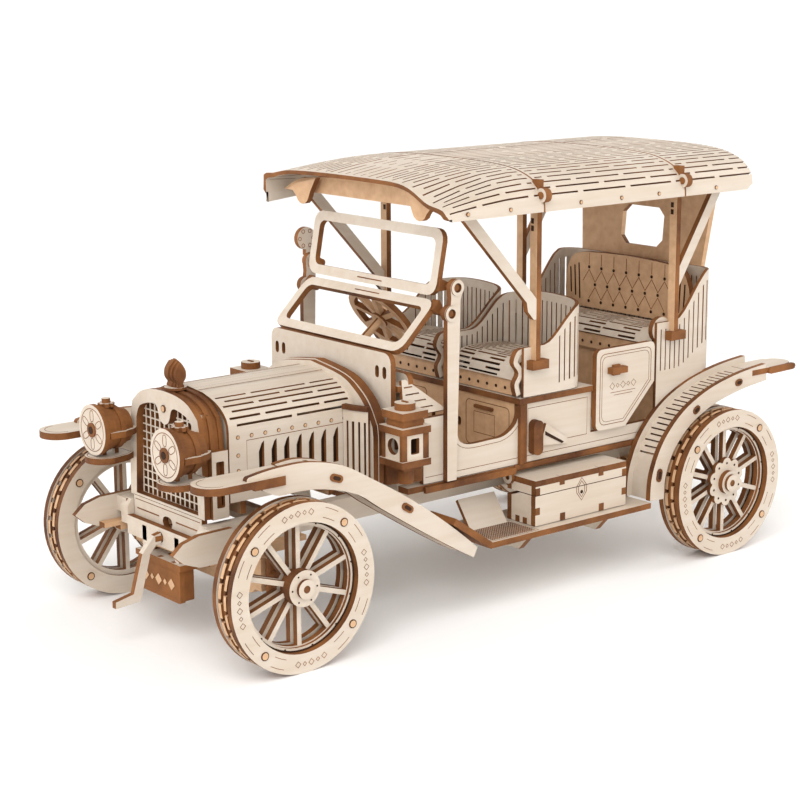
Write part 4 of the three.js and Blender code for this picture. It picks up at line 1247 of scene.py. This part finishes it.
def build_boards():
    running_board().pair("running_board_tread", "running_board")
    box, lid = tool_box_sheets()
    box.piece("tool_box_sheets", "tool_box")
    lid.piece("tool_box_lid_sheets", "tool_box_lid", "tool_box_lid")


# ---------- windshield, posts and number plate ----------
UPPER_PIVOT = (-31, 132)
LOWER_PIVOT = (-34, 122)


def screen_frame(lean, low, high, pivot):
    """A frame about its pivot, from low to high along it, leaning by an angle in radians."""
    offset = 3.6
    half, bar, r = 42, 4, 5
    leaf = Sheet()
    hole = rounded(-half + bar, half - bar, low + bar, high - bar, r - 2)
    leaf.plate(rounded(-half, half, low, high, r), "y", -offset - PLY / 2, -offset + PLY / 2, [hole])
    line_z = high - bar / 2 if abs(low) > abs(high) else low + bar / 2
    leaf.line([(-8, line_z), (8, line_z)], "y", -offset - PLY / 2, -1, 0.5)
    for sign in (-1, 1):
        ear = [(-offset - 0.6, -2.6), (-offset - 0.6, 2.6), (0, 1.6)]
        ear += arc(1.6, 90, -90, 6) + [(0, -1.6)]
        leaf.plate(ear, "x", sign * (half - 3), sign * (half + 1), (), EDGE)
        leaf.plate(circle(1.4, 14), "x", sign * (half + 0.5), sign * 48.6, (), EDGE)
    turn = Matrix.Translation((0, *pivot)) @ Matrix.Rotation(lean, 4, "X")
    return leaf.move(turn)


def build_screen():
    upper = screen_frame(-0.19, -4.7, 22, UPPER_PIVOT)
    upper.piece("screen_upper_sheet", "windshield_upper_frame", "windshield_upper_frame")
    lower = screen_frame(-0.8, -24.7, 1.7, LOWER_PIVOT)
    lower.piece("screen_lower_sheet", "windshield_lower_frame", "windshield_lower_frame")
    post = Sheet()
    x0, x1 = 46.35, 48.85
    boss = 3.4
    outline = [(-36, 54.4), (-31.2, 54.4), (-29.2, 127)] + arc(boss, -35, 180, 12, *UPPER_PIVOT)
    outline += [(-34, 128)] + arc(boss, 95, 235, 8, *LOWER_PIVOT)
    post.plate(outline, "x", x0, x1, [circle(1.9, 18, *pivot) for pivot in (LOWER_PIVOT, UPPER_PIVOT)])
    for pivot in (LOWER_PIVOT, UPPER_PIVOT):
        post.plate(circle(3.2, 24, *pivot), "x", x1, x1 + 0.5, [circle(1.9, 18, *pivot)])
    post.pair("windshield_post_sheet", "windshield_post")
    mirror = Sheet()
    y, z = -32, 141.5
    mirror.plate(circle(4.8, 28, y, z), "x", -51.2, -48.8)
    mirror.plate(circle(2.2, 16, y, z), "x", -51.9, -51.2, (), EDGE)
    mirror.plate(rect(-32.4, -29.6, 134.2, 138), "x", -51.2, -48.9)
    for k in range(6):
        for level, out in ((-51.2, -1), (-48.8, 1)):
            mirror.line(circle(0.8, 8, *polar(3.5, 60 * k, y, z)), "x", level, out, 0.3, True)
    mirror.piece("mirror_disc")


def build_plate():
    plate = Sheet()
    face = -141.2
    plate.plate(rounded(-15, 15, 17, 30.2, 1), "y", face, face + 2.4, (), EDGE)
    plate.plate(rounded(-14.6, 14.6, 17.4, 30.2, 1), "y", face + 2.4, -134.6)
    plate.box(-16, 16, face - 0.4, -134, 30.2, 32.6)
    for y in (face, -136.6):
        for k in range(3):
            plate.box(-11 + 10 * k, -9 + 10 * k, y, y + 2, 32.6, 32.7, "z", EDGE)
    plate.line(rounded(-13.4, 13.4, 18.6, 28.8, 1), "y", face, -1, 0.35, True)
    for k in range(-2, 3):
        size = 2.4 if k % 2 == 0 else 1.3
        plate.plate(diamond(4.6 * k, 23.7, size), "y", face - 0.25, face, (), TAN_AND_SHADE)
    for sign in (-1, 1):
        plate.box(*sorted((sign * 10, sign * 13)), -140, -137.2, 31, 42.4, "y")
    plate.plate(rect(-24.1, 24.1, 36.5, 44), "y", -140, -137.2, [circle(2.2, 16, 0, 40.2)])
    plate.piece("number_plate_box", "number_plate")


make_camera()
make_stage()
build_roof()
build_posts()
build_wheels()
build_fenders()
build_radiator()
build_hood()
build_firewall()
build_lamps()
build_body()
build_seats()
build_boards()
build_screen()
build_plate()
# CAD parts that sit in shade take the browner wood as painted shade.
shaded = ("curtain", "steering_wheel", "seat_base", "axle", "spring", "ribs")
for name, cad_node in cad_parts.items():
    if not cad_node.hide_render:
        scorch_edges(cad_node, TAN_AND_SHADE if any(part in name for part in shaded) else FACE)
